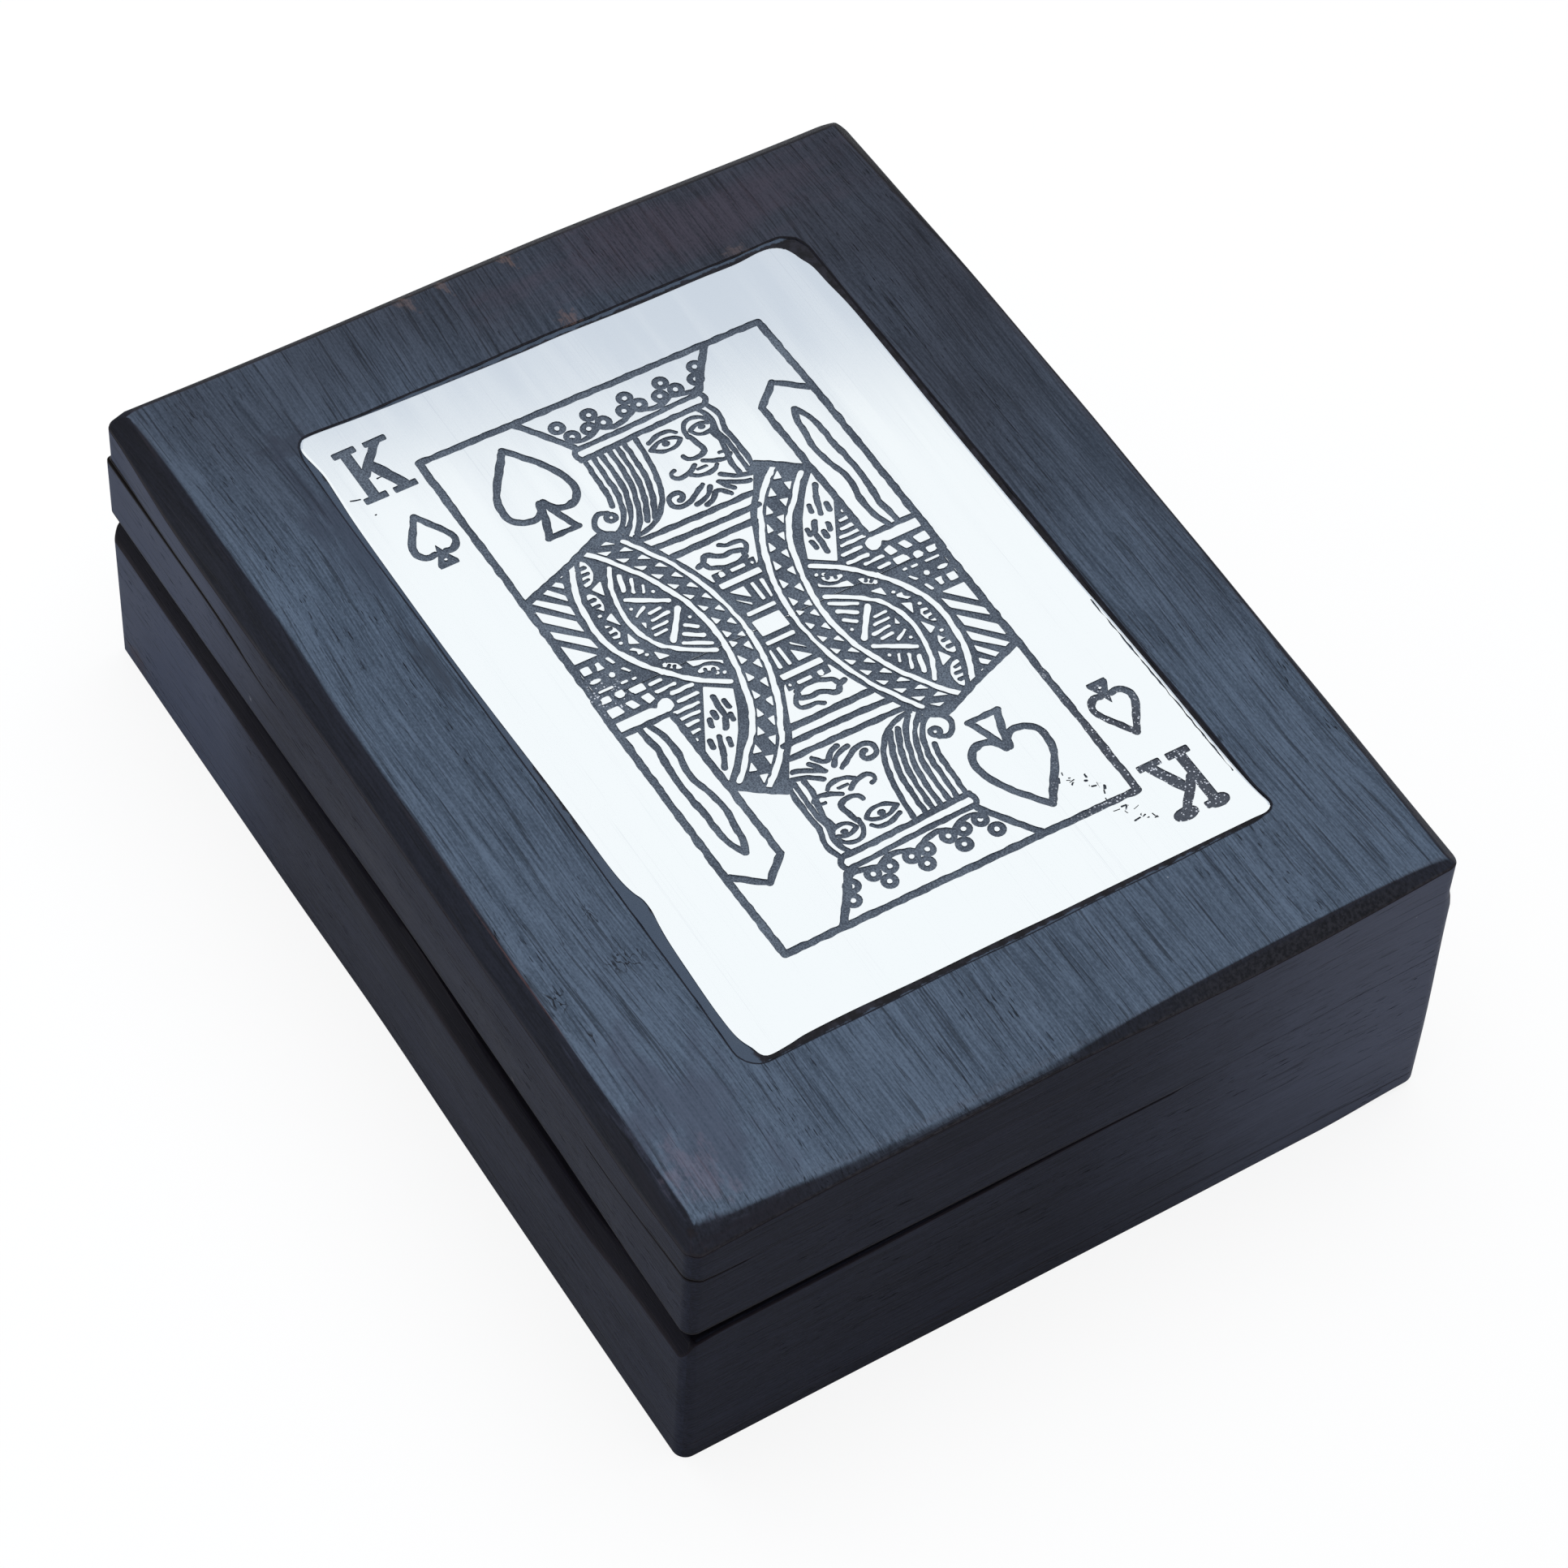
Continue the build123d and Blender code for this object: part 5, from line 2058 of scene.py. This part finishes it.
    def right_sleeve(self) -> None:
        """Bars beside the fur, and the arc with its crescents below it."""
        s = self.sheet
        bars = (
            (8.9, 14.3, 15.3), (7.85, 13.8, 15.3), (6.9, 13.1, 15.3), (5.9, 12.6, 15.3), (4.8, 12, 14.2),
            (3.6, 11.9, 14.3), (2.6, 13.4, 15.5), (1.5, 14.4, 15.6),
        )
        for height, start, end in bars:
            s.island(0.42, (start, height), (end, height))
        for dot in ((15.2, 9.9), (8.2, 3.9), (8.9, 3.6)):
            s.oval(dot, 0.45, 0.45)
        s.island(0.6, (8.3, 5.2), (10, 4.2), (11.5, 3), (12.7, 1.75), (13.6, 0.7))
        self.toothed_crescent(
            ((8.4, 3.4), (8.9, 3.25), (9.3, 3), (9.8, 2.85), (10.5, 2.75), (10.55, 2.4), (9.7, 2.15),
             (8.95, 2.4), (8.5, 2.85)),
            (((9.05, 3.4), (8.95, 2.95)), ((9.85, 2.95), (9.75, 2.6))),
        )
        self.toothed_crescent(
            ((11.6, 1.3), (12.1, 1.2), (12.7, 0.75), (13.4, 0.1), (12.6, 0), (11.8, 0.55)),
            (((12.4, 1), (12.2, 0.7)), ((12.95, 0.6), (12.65, 0.35))),
        )
        s.area(
            (7.7, 2.9), (8.05, 2.4), (8.7, 1.95), (9.4, 1.75), (10.1, 1.78), (10.6, 1.7), (10.9, 0.75),
            (9.4, 1.35), (7.55, 2.45)
        )

    def sword(self) -> None:
        """Sword held upright at the right."""
        s = self.sheet
        s.line(0.75, (15.3, 26.2), (18.15, 28.75))
        s.line(0.75, (18.15, 28.75), (21.3, 26.2))
        s.line(0.75, (15.35, 26), (15.4, 20), (15.55, 14), (15.6, 6.2))
        s.line(
            0.68, (18.25, 24.4), (17.7, 23), (17.55, 21.5), (17.25, 19.5), (17.3, 17.5), (17.7, 15.5),
            (18.1, 13.5), (18, 12), (17.7, 10.5), (17.7, 8.5), (18, 7), (18.4, 6.1)
        )
        s.line(
            0.68, (18.25, 24.4), (18.9, 23.2), (19.3, 21.2), (19.3, 18.5), (19.5, 16), (19.6, 13.5),
            (19.4, 11), (19.2, 9), (19.4, 7.5), (19.5, 6.1)
        )
        s.line(0.65, (15.9, 5.75), (21.3, 5.7))

    def sword_hand(self) -> None:
        """Hand on the sword and the links of its cuff."""
        s = self.sheet
        s.area(
            (14.75, 4.6), (14.9, 5.1), (15.5, 5.4), (21.3, 5.4), (21.3, 4.1), (17.2, 4.1), (16.6, 4.5),
            (16.1, 3.9), (15.5, 3.65), (14.9, 3.9)
        )
        links = (
            ((16.1, 3.3), (16.9, 3.6), (17.3, 2.4), (16.3, 2.3)),
            ((17.8, 3.3), (18.7, 3.4), (19.1, 2.3), (18.2, 2.3)),
            ((19.6, 3.3), (21.2, 3.4), (21.2, 2.2), (19.9, 2.2)),
            ((16.2, 1.6), (17.7, 1.6), (17.9, 0.9), (16.4, 0.9)),
            ((18.5, 1.5), (19.2, 1.5), (19.5, 0.8), (18.8, 0.8)),
            ((20.3, 1.4), (21.2, 1.4), (21.2, 0.7), (20.4, 0.7)),
        )
        for link in links:
            s.area(*link)


@dataclass
class Inlay:
    """Etched plate and the black filler round it, let into the top of the lid."""

    effects: Effects
    etch_depth: float = 0.16
    edge_drop: float = 0.1
    edge_width: float = 0.22
    pocket_radius: float = 2.6
    least_gap: float = 0.12
    corner_pull: float = 0.35
    filler_sink: float = 0.1
    filler_dish: float = 0.08
    outline: tuple[Point, ...] = (
        (-29.8, 44.8), (-29.6, 45.6), (-29, 46.3), (-28.2, 46.45), (-22.8, 46.2), (-18, 46), (-10, 45.8),
        (-2, 45.65), (2, 45.7), (12, 45.4), (20, 45.35), (24, 45.25), (27, 45.5), (28.5, 45.35),
        (29.3, 44.9), (30, 43.6), (30.3, 42.5), (30.8, 41), (31, 38), (31.3, 34), (31.3, 12),
        (31.4, -10), (31.5, -14), (31.62, -22), (31.65, -36), (31.8, -40.5), (32, -42.4),
        (32.15, -43.5), (32, -44.1), (31.3, -44.5), (29.5, -44.5), (20, -44.45), (12, -44.4), (6, -44.4),
        (0, -44.3), (-10, -44.27), (-18, -44.1), (-23.5, -44.2), (-25, -44.4), (-27.6, -44.45),
        (-28.1, -44), (-28.4, -43), (-28.8, -42), (-29.05, -41), (-29.2, -38), (-29.07, -32),
        (-28.9, -28), (-28.7, -26), (-28.43, -24), (-28.5, -22.5), (-28.85, -21.5), (-29.15, -20),
        (-29.3, -18), (-29.36, -9), (-29.8, 12), (-29.8, 26), (-29.7, 34), (-29.5, 38), (-29.4, 41),
    )

    def __post_init__(self) -> None:
        """Read the heights of the inlay from the frame."""
        self.plate_low, self.plate_high = node_box("inlay_plate")
        self.filler_low, self.filler_high = node_box("inlay_filler")
        self.edge = self.smooth_edge()

    def smooth_edge(self) -> Array:
        """Edge of the plate in card millimetres, hand-cut, once round against the clock.

        Returns:
            Points about half a millimetre apart.
        """
        corners = np.array(self.outline, float)[::-1]
        closed = np.vstack([corners[-2:], corners, corners[:3]])
        step, well_past = 0.5, 5
        path = catmull_rom(closed, step)
        start = np.argmin(np.linalg.norm(path - corners[0], axis=1))
        rest = path[start + well_past :]
        finish = start + well_past + np.argmin(np.linalg.norm(rest - corners[0], axis=1))
        return path[start:finish]

    def shifted_edge(self, outward: float) -> Array:
        """Edge moved outward by a distance.

        Args:
            outward: The distance.

        Returns:
            The moved edge.
        """
        tangent = np.roll(self.edge, -1, 0) - np.roll(self.edge, 1, 0)
        tangent /= np.linalg.norm(tangent, axis=1)[:, None]
        return self.edge + outward * np.stack([tangent[:, 1], -tangent[:, 0]], 1)

    @staticmethod
    def to_box(card: Array) -> Array:
        """Card place as a plan place of the box."""
        return np.stack([-card[..., 1], card[..., 0]], -1)

    def pocket(self, stations: Sequence[int]) -> Array:
        """Rim of the pocket, with a given number of points for each side of the box.

        Args:
            stations: Number of points along the front, right, back and left side.

        Returns:
            Plan points, in the order of the box's outline.
        """
        rim = self.to_box(self.pocket_edge())
        low, high = rim.min(0), rim.max(0)
        corners = [(low[0], low[1]), (high[0], low[1]), (high[0], high[1]), (low[0], high[1])]
        places = [int(np.argmin(np.linalg.norm(rim - np.array(c), axis=1))) for c in corners]
        sides = []
        for number, (start, stop) in enumerate(zip(places, places[1:] + places[:1])):
            stretch = rim[start : stop + 1] if stop > start else np.vstack([rim[start:], rim[: stop + 1]])
            count = stations[number]
            share = np.arange(count) / count
            share = share - np.sin(2 * math.pi * share) / (2 * math.pi) * self.corner_pull
            sides.append(resample(stretch, share))
        return np.vstack(sides)

    def edge_normals(self) -> Array:
        """Outward directions along the plate's edge."""
        return self.shifted_edge(1) - self.edge

    def pocket_edge(self) -> Array:
        """Edge of the pocket in card millimetres, with one point for each of the plate's edge.

        Returns:
            Points that lie outside those of the plate's edge.
        """
        centre = (self.filler_low[:2] + self.filler_high[:2]) / 2
        half = (self.filler_high[:2] - self.filler_low[:2]) / 2 - self.least_gap
        middle, reach = np.array([centre[1], -centre[0]]), np.array([half[1], half[0]])
        offset = self.edge - middle
        straight = np.clip(offset, -(reach - self.pocket_radius), reach - self.pocket_radius)
        outward = offset - straight
        length = np.linalg.norm(outward, axis=1)[:, None]
        wave = self.pocket_radius + 0.1 * waves(self.edge[:, :1], self.edge[:, 1:], 17)
        target = middle + straight + outward / np.maximum(length, 1e-6) * wave
        normals = self.edge_normals()
        gap = ((target - self.edge) * normals).sum(1)[:, None]
        return np.where(gap > self.least_gap, target, self.edge + self.least_gap * normals)

    def build_plate(self) -> Piece:
        """Triangulate the plate along every drawn edge and sink the etched parts.

        Returns:
            The plate.
        """
        sheet = Etching()
        CourtFigure(sheet).draw()
        self.pits(sheet)
        loops = [self.edge, self.shifted_edge(-self.edge_width)]
        loops += [loop for shape in sheet.shapes for loop in shape.loops]
        starts = np.cumsum([0] + [len(loop) for loop in loops])
        edges = [(s + k, s + (k + 1) % len(loop)) for s, loop in zip(starts, loops) for k in range(len(loop))]
        flat = [Vector(p) for p in np.vstack(loops)]
        found, _, triangles, origin, _, _ = delaunay_2d_cdt(flat, edges, [], 0, 1e-5)
        points = np.array([tuple(p) for p in found])
        triangles = np.array([t for t in triangles if len(t) == 3])
        a, b, c = (points[triangles[:, k]] for k in range(3))
        twice = (b[:, 0] - a[:, 0]) * (c[:, 1] - a[:, 1]) - (b[:, 1] - a[:, 1]) * (c[:, 0] - a[:, 0])
        triangles[twice < 0] = triangles[twice < 0][:, ::-1]
        centres = (a + b + c) / 3
        plate = Shape([self.edge], Ground.METAL, Layer.FIELD)
        keep = plate.covers(centres) & (np.abs(twice) > 1e-9)
        triangles, centres = triangles[keep], centres[keep]
        etched = np.zeros(len(triangles), bool)
        for shape in sorted(sheet.shapes, key=lambda shape: shape.layer.value):
            etched[shape.covers(centres)] = shape.ground is Ground.ETCHED
        rim = {k for k, ids in enumerate(origin) if any(i < len(self.edge) for i in ids)}
        piece = self.sculpt_plate(points, triangles, etched, rim)
        log.info("plate: %d triangles, %d etched", len(triangles), int(etched.sum()))
        return piece

    def sculpt_plate(self, points: Array, triangles: Array, etched: Array, rim: set[int]) -> Piece:
        """Raise the flat triangulation to the plate's heights and close its sides.

        Args:
            points: Card places of the triangulation.
            triangles: Corners of each triangle, against the clock.
            etched: Which triangles lie on etched ground.
            rim: Points on the plate's outer edge.

        Returns:
            The plate, with polished metal as material 0 and etched ground as material 1.
        """
        top, bottom = self.plate_high[2], self.plate_low[2]
        on_rim = np.array([k in rim for k in range(len(points))])
        place = self.to_box(points)
        high = np.column_stack([place, np.where(on_rim, top - self.edge_drop, top)])
        low = np.column_stack([place, np.full(len(points), top - self.etch_depth)])
        floor = np.column_stack([place, np.full(len(points), bottom)])
        count = len(points)
        faces = [tuple(t) for t in triangles[~etched].tolist()]
        kinds = [0] * len(faces)
        faces += [tuple(t) for t in (triangles[etched] + count).tolist()]
        kinds += [1] * (len(faces) - len(kinds))
        owner: dict[tuple[int, int], int] = {}
        for number, t in enumerate(triangles.tolist()):
            for k in range(3):
                owner[(t[k], t[(k + 1) % 3])] = number
        ring: dict[int, int] = {}
        for (p, q), number in owner.items():
            other = owner.get((q, p))
            if other is None:
                lift = count if etched[number] else 0
                faces.append((q + lift, p + lift, p + 2 * count, q + 2 * count))
                kinds.append(0)
                ring[p] = q
            elif not etched[number] and etched[other]:
                faces.append((q, p, p + count, q + count))
                kinds.append(1)
        first = next(iter(ring))
        loop, at = [first], ring[first]
        while at != first:
            loop.append(at)
            at = ring[at]
        faces.append(tuple(k + 2 * count for k in loop[::-1]))
        kinds.append(0)
        mesh = bpy.data.meshes.new("etched_plate")
        mesh.from_pydata((np.vstack([high, low, floor]) * MM).tolist(), [], faces)
        mesh.polygons.foreach_set("material_index", kinds)
        piece = link("etched_plate", mesh)

        def drop_loose_points(work: bmesh.types.BMesh) -> None:
            """Remove points that no face uses."""
            bmesh.ops.delete(work, geom=[v for v in work.verts if not v.link_faces], context="VERTS")

        rework(piece, drop_loose_points)
        return piece

    def pits(self, sheet: Etching) -> None:
        """Corroded specks between the lower pip and the frame's corner, and a few small nicks.

        Args:
            sheet: Drawing that they are added to.
        """
        swarms = (((15.6, -30.2), (18.9, -34.4), 14, 0.35), ((18, -35.4), (21, -39.6), 18, 0.4))
        for start, end, count, spread in swarms:
            path = np.linspace(start, end, count) + sheet.random.normal(0, spread, (count, 2))
            for place in path:
                turn, length = sheet.random.uniform(0, math.pi), sheet.random.uniform(0.15, 0.7)
                reach = length / 2 * np.array([math.cos(turn), math.sin(turn)])
                width = 0.09 + 0.16 * sheet.random.random() ** 2
                sheet.line(width, tuple(place - reach), tuple(place + reach))
        sheet.line(0.13, (31.12, -13), (31.2, -22), (31.22, -38.6))
        for start, end in (((-28.7, 36.4), (-27.7, 36.1)), ((-24.8, 37.75), (-24.1, 37.75))):
            sheet.line(0.16, start, end)
        sheet.oval((-27.3, 33.5), 0.3, 0.2, **DARK)

    def build_filler(self) -> Piece:
        """Bed under the plate and the uneven rim round it, in one piece.

        Returns:
            The filler.
        """
        top, bottom = self.filler_high[2], self.filler_low[2]
        shares = np.array([0.02, 0.2, 0.4, 0.6, 0.8, 0.98])
        ring = self.edge[:, None] + shares[None, :, None] * (self.pocket_edge() - self.edge)[:, None]
        u, v = ring[..., 0], ring[..., 1]
        lumps = 0.06 * waves(u, v, 2.3) + 0.05 * waves(v, u, 5.1)
        dish = -self.filler_dish * np.sin(math.pi * shares)[None, :]
        height = top - self.filler_sink + lumps + dish
        upper = np.dstack([self.to_box(ring), np.minimum(height, top)])
        inner_foot = np.dstack([self.to_box(ring[:, :1]), np.full((len(ring), 1), self.plate_low[2])])
        outer_foot = np.dstack([self.to_box(ring[:, -1:]), np.full((len(ring), 1), bottom)])
        draft = MeshDraft()
        grid = draft.add_points(np.concatenate([inner_foot, upper, outer_foot], 1))
        draft.add_grid(grid, wrap_rows=True)
        draft.close(grid[::-1, 0], grid[:, -1])
        return draft.build("plate_filler")

    def build(self) -> None:
        """Build and dress the plate and its filler."""
        plate = self.build_plate()
        dress(plate, PolishedPlate().make(self.effects), EtchedGround().make(self.effects))
        filler = self.build_filler()
        dress(filler, BlackFiller().make(self.effects))
        place_piece(plate, LID, "inlay_plate")
        place_piece(filler, LID, "inlay_filler")


# Hinges and lining ---------------------------------------------------------------------------


@dataclass
class Hinges:
    """Two brass butt hinges: the frame's own leaves, pins and screws, with a worn finish."""

    effects: Effects
    names: tuple[str, ...] = ("hinge_left", "hinge_right")
    edge_width: float = 0.08

    def build(self) -> None:
        """Dress every node of both hinges and break its sharp edges."""
        leaf_brass = Brass("leaf_brass", (214, 178, 112), (150, 116, 66)).make(self.effects)
        hardware = Brass("screw_brass", (222, 190, 128), (160, 128, 76), 0.25).make(self.effects)
        for name in self.names:
            for part in ("base_leaf", "lid_leaf", "pin", "base_screws", "lid_screws"):
                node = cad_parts[f"{name}_{part}"]
                dress(node, leaf_brass if "leaf" in part else hardware)
                edge = node.modifiers.new("broken_edges", "BEVEL")
                edge.width, edge.segments, edge.limit_method = self.edge_width * MM, 2, "ANGLE"
                log.info("%s_%s dressed", name, part)


@dataclass
class Lining:
    """Felt laid on the floor of the base."""

    effects: Effects
    spacing: float = 1.6
    margin: float = 0.3

    def build(self) -> None:
        """Build the felt as a thin cut sheet with a soft edge."""
        low, high = node_box("base_lining")
        counts = [int((high[k] - low[k]) / self.spacing) for k in (0, 1)]
        lines = [np.linspace(low[k] + self.margin, high[k] - self.margin, counts[k]) for k in (0, 1)]
        x, y = np.meshgrid(*lines, indexing="ij")
        border = np.minimum.reduce([x - low[0], high[0] - x, y - low[1], high[1] - y])
        sink, unevenness, edge_drop = 0.12, 0.1, 0.25
        edge = 1 - ramp(border, 0.3, 2)
        height = high[2] - sink - unevenness * waves(x, y, 14) - edge_drop * edge
        draft = MeshDraft()
        top = draft.add_points(np.dstack([x, y, height]))
        bottom = draft.add_points(np.dstack([x, y, np.full_like(x, low[2] + 0.01)]))
        draft.add_grid(top)
        draft.add_grid(bottom[::-1])
        rim = [np.concatenate([g[:-1, 0], g[-1, :-1], g[:0:-1, -1], g[0, :0:-1]]) for g in (top, bottom)]
        draft.add_grid(np.stack(rim), wrap_columns=True)
        piece = draft.build("felt_lining", sharp=60)
        dress(piece, Felt().make(self.effects))
        place_piece(piece, BASE, "base_lining")


# Finishes of the wood ------------------------------------------------------------------------

TOP_WOOD = StainedWood(
    "stained_top",
    Grain.ALONG_X,
    deep=(49, 59, 72),
    pale=(82, 95, 112),
    line_depth=0.5,
    far_shade=(172, 158, 156),
    end_colour=(38, 38, 43),
    bevel_shade=(110, 101, 106),
    end_share=0.85,
    specular=0.1,
    roughness=0.42,
    marks=(
        Mark((26, -43.5, 39.3), (12, 0.14, 0.5), (90, 66, 64), 0.45, 1.3),
        Mark((28.7, -42, 39.4), (2.4, 1.3, 1), (18, 18, 22), 0.9, 0.3, True),
        Mark((28, -33.6, 39.4), (2, 2.8, 1), (18, 18, 22), 0.9, 0.3, True),
        Mark((21.5, -34, 39.4), (2, 0.7, 1), (18, 18, 22), 0.8, 0.4, True),
        Mark((34.4, -41.2, 39.4), (1.2, 0.7, 1), (18, 18, 22), 0.9, 0.4, True),
        Mark((-13.7, -32, 39.4), (8, 1.4, 1), (24, 22, 26), 0.6, 1.2),
        Mark((-33, -31.6, 39.4), (15, 3, 1), (40, 43, 56), 0.5, 1.5),
        Mark((-46.6, -31, 39.4), (2.6, 3.4, 1), (40, 42, 52), 0.5, 1.4),
        Mark((-47.3, 4, 39.4), (1.6, 1.3, 1), (108, 84, 76), 0.35, 1.5),
        Mark((-47, 24.6, 39.4), (0.9, 1.6, 1), (100, 84, 80), 0.3, 1.3),
        Mark((-57.6, -10, 39.2), (2, 1.3, 1), (104, 86, 80), 0.35, 1.6),
        Mark((-57.8, -5.4, 39.2), (1.8, 0.8, 1), (104, 86, 80), 0.35, 1.6),
        Mark((-57.8, 2.5, 39.2), (1.8, 1, 1), (106, 86, 78), 0.45, 1.5),
        Mark((-53, 20, 39.4), (7, 26, 1), (62, 54, 64), 0.45, 0.9),
        Mark((47, -38, 39.4), (13, 7, 1), (60, 64, 79), 0.55, 1.4),
        Mark((52.5, -40.5, 39.4), (5, 3, 1), (108, 98, 112), 0.3, 1.6),
        Mark((57.7, -44.2, 38.9), (0.9, 0.6, 1), (22, 20, 24), 0.9, 0.6),
        Mark((50, -45, 38.3), (13, 1.1, 1.4), (25, 24, 31), 0.65, 0.8),
        Mark((59.2, -37, 38.3), (1.2, 10, 1.4), (22, 20, 27), 0.7, 0.8),
    ),
)
SIDE_MARKS = (
    Mark((-28.3, -45.6, 25.7), (0.35, 0.6, 0.5), (120, 122, 130), 0.6, 0.7),
    Mark((-28.9, -45.6, 15.8), (0.3, 0.6, 0.9), (20, 20, 24), 0.8, 0.7),
    Mark((26, -45.6, 24.6), (0.5, 0.6, 0.5), (118, 112, 110), 0.6, 0.7),
    Mark((25.5, -45.6, 14.6), (0.4, 0.6, 0.7), (16, 16, 20), 0.8, 0.7),
    Mark((-56.1, -45.4, 1.8), (3.4, 1, 2), (58, 44, 44), 0.5, 0.9),
    Mark((60, 40.2, 32.9), (0.6, 0.3, 0.34), (236, 238, 240), 1, 0.2),
)
SIDE_WOOD_X = StainedWood(
    "stained_rail_long",
    Grain.ALONG_X,
    deep=(27, 29, 39),
    pale=(41, 44, 58),
    far_shade=(235, 232, 232),
    end_colour=(30, 31, 40),
    bevel_shade=(150, 138, 142),
    line_depth=0.35,
    # Painted light: paler towards the left end of the front and back rails.
    painted_light_from=-18,
    painted_light_to=-44,
    specular=0.02,
    roughness=0.45,
    marks=SIDE_MARKS,
)
SIDE_WOOD_Y = replace(
    SIDE_WOOD_X,
    name="stained_rail_short",
    grain=Grain.ALONG_Y,
    deep=(27, 28, 36),
    pale=(38, 40, 52),
    # Painted light: paler towards the back of the left and right rails.
    painted_light_colour=(74, 78, 93),
    painted_light_from=-4,
    painted_light_to=44,
    marks=SIDE_MARKS[-1:],
)


# Studio --------------------------------------------------------------------------------------


@dataclass
class Studio:
    """Camera, pale floor, soft lamps and white surroundings."""

    lens: float = 118.32
    sensor: float = 36
    camera_place: Triple = (272.58, -188.20, 451.06)
    camera_right: Triple = (0.526607, 0.849008, 0.043246)
    camera_down: Triple = (0.691810, -0.398429, -0.602207)
    camera_forward: Triple = (-0.494049, 0.347045, -0.797168)
    floor_size: float = 3000

    def build(self) -> None:
        """Set up everything that isn't part of the box."""
        self.add_camera()
        self.add_floor()
        self.add_lamps()
        self.add_surroundings()
        bpy.context.scene.view_settings.view_transform = "Standard"

    def add_camera(self) -> None:
        """Camera at the photographed place and angle."""
        data = bpy.data.cameras.new("camera")
        data.lens, data.sensor_width, data.clip_start = self.lens, self.sensor, 0.01
        camera = link("camera", data)
        columns = Vector(self.camera_right), -Vector(self.camera_down), -Vector(self.camera_forward)
        turn = Matrix(columns).transposed().to_4x4()
        camera.matrix_world = Matrix.Translation(Vector(self.camera_place) * MM) @ turn
        bpy.context.scene.camera = camera

    def add_floor(self) -> None:
        """Pale floor that reads as white and keeps the box's shadow."""
        half = self.floor_size / 2 * MM
        mesh = bpy.data.meshes.new("floor")
        corners = [(-half, -half, 0), (half, -half, 0), (half, half, 0), (-half, half, 0)]
        mesh.from_pydata(corners, [], [(0, 1, 2, 3)])
        floor = link("floor", mesh)
        material, g, shader = new_material("pale_floor")
        g.feed(shader, {"Base Color": (0.87, 0.87, 0.87, 1), "Roughness": 0.9, "Specular IOR Level": 0})
        path = g.node("LightPath").outputs
        seen = g.most(path["Is Camera Ray"], path["Is Transmission Ray"])
        share = g.most(g.times(seen, 0.86), g.times(path["Is Glossy Ray"], 0.12))
        glow = g.node("Emission", {"Color": (1, 1, 1, 1), "Strength": 1}).outputs[0]
        nodes = material.node_tree.nodes
        blend = g.node("MixShader", {0: share, 1: nodes["Principled BSDF"].outputs[0], 2: glow})
        g.feed(nodes["Material Output"].inputs, {"Surface": blend.outputs[0]})
        dress(floor, material)

    def add_lamps(self) -> None:
        """Two soft lamps, a large one overhead and a small one low in front at the left end."""
        target = Vector((0, 0, 20)) * MM
        for name, place, size, power, tint in (
            ("overhead", (-80, 60, 900), 900, 8.4, (0.97, 0.985, 1)),
            ("left", (-300, -170, 150), 200, 0.22, (0.93, 0.96, 1)),
        ):
            data = bpy.data.lights.new(name, "AREA")
            data.shape, data.size, data.size_y = "RECTANGLE", size * MM, size * MM
            data.energy, data.color = power, tint
            lamp = link(name, data)
            lamp.location = Vector(place) * MM
            lamp.rotation_euler = (target - lamp.location).to_track_quat("-Z", "Y").to_euler()
            lamp.visible_glossy = False

    def add_surroundings(self) -> None:
        """World: white to the eye and in reflections, with one grey panel, and dimmer as a lamp."""
        world = bpy.data.worlds.new("studio")
        bpy.context.scene.world = world
        world.use_nodes = True
        g = Graph(world.node_tree)
        path = g.node("LightPath").outputs
        x, y, z = g.parts(g.node("TexCoord").outputs["Generated"])
        panel = g.step(g.math("DIVIDE", g.add(x, g.times(y, -0.3)), z), -0.894, -0.872)
        seen = g.most(path["Is Camera Ray"], path["Is Transmission Ray"])
        white, lamp_light = (1, 1, 1, 1), (0.36, 0.375, 0.4, 1)
        colour = g.mix(path["Is Glossy Ray"], lamp_light, g.mix(panel, (212, 217, 226), white))
        g.feed(world.node_tree.nodes["Background"].inputs, {"Color": g.mix(seen, colour, white)})


def main() -> None:
    """Build the box and its studio."""
    logging.basicConfig(level=logging.INFO, format="%(name)s: %(message)s")
    effects = Effects()
    Studio().build()
    inlay = Inlay(effects)
    hinges = Hinges(effects)
    wood = WoodenBox(effects)
    stations = [len(wood.plan.stations(side)[0]) for side in Side]
    wood.build(inlay.pocket(stations), hinges.names)
    inlay.build()
    hinges.build()
    Lining(effects).build()
    bpy.context.view_layer.update()


if __name__ == "__main__":
    main()
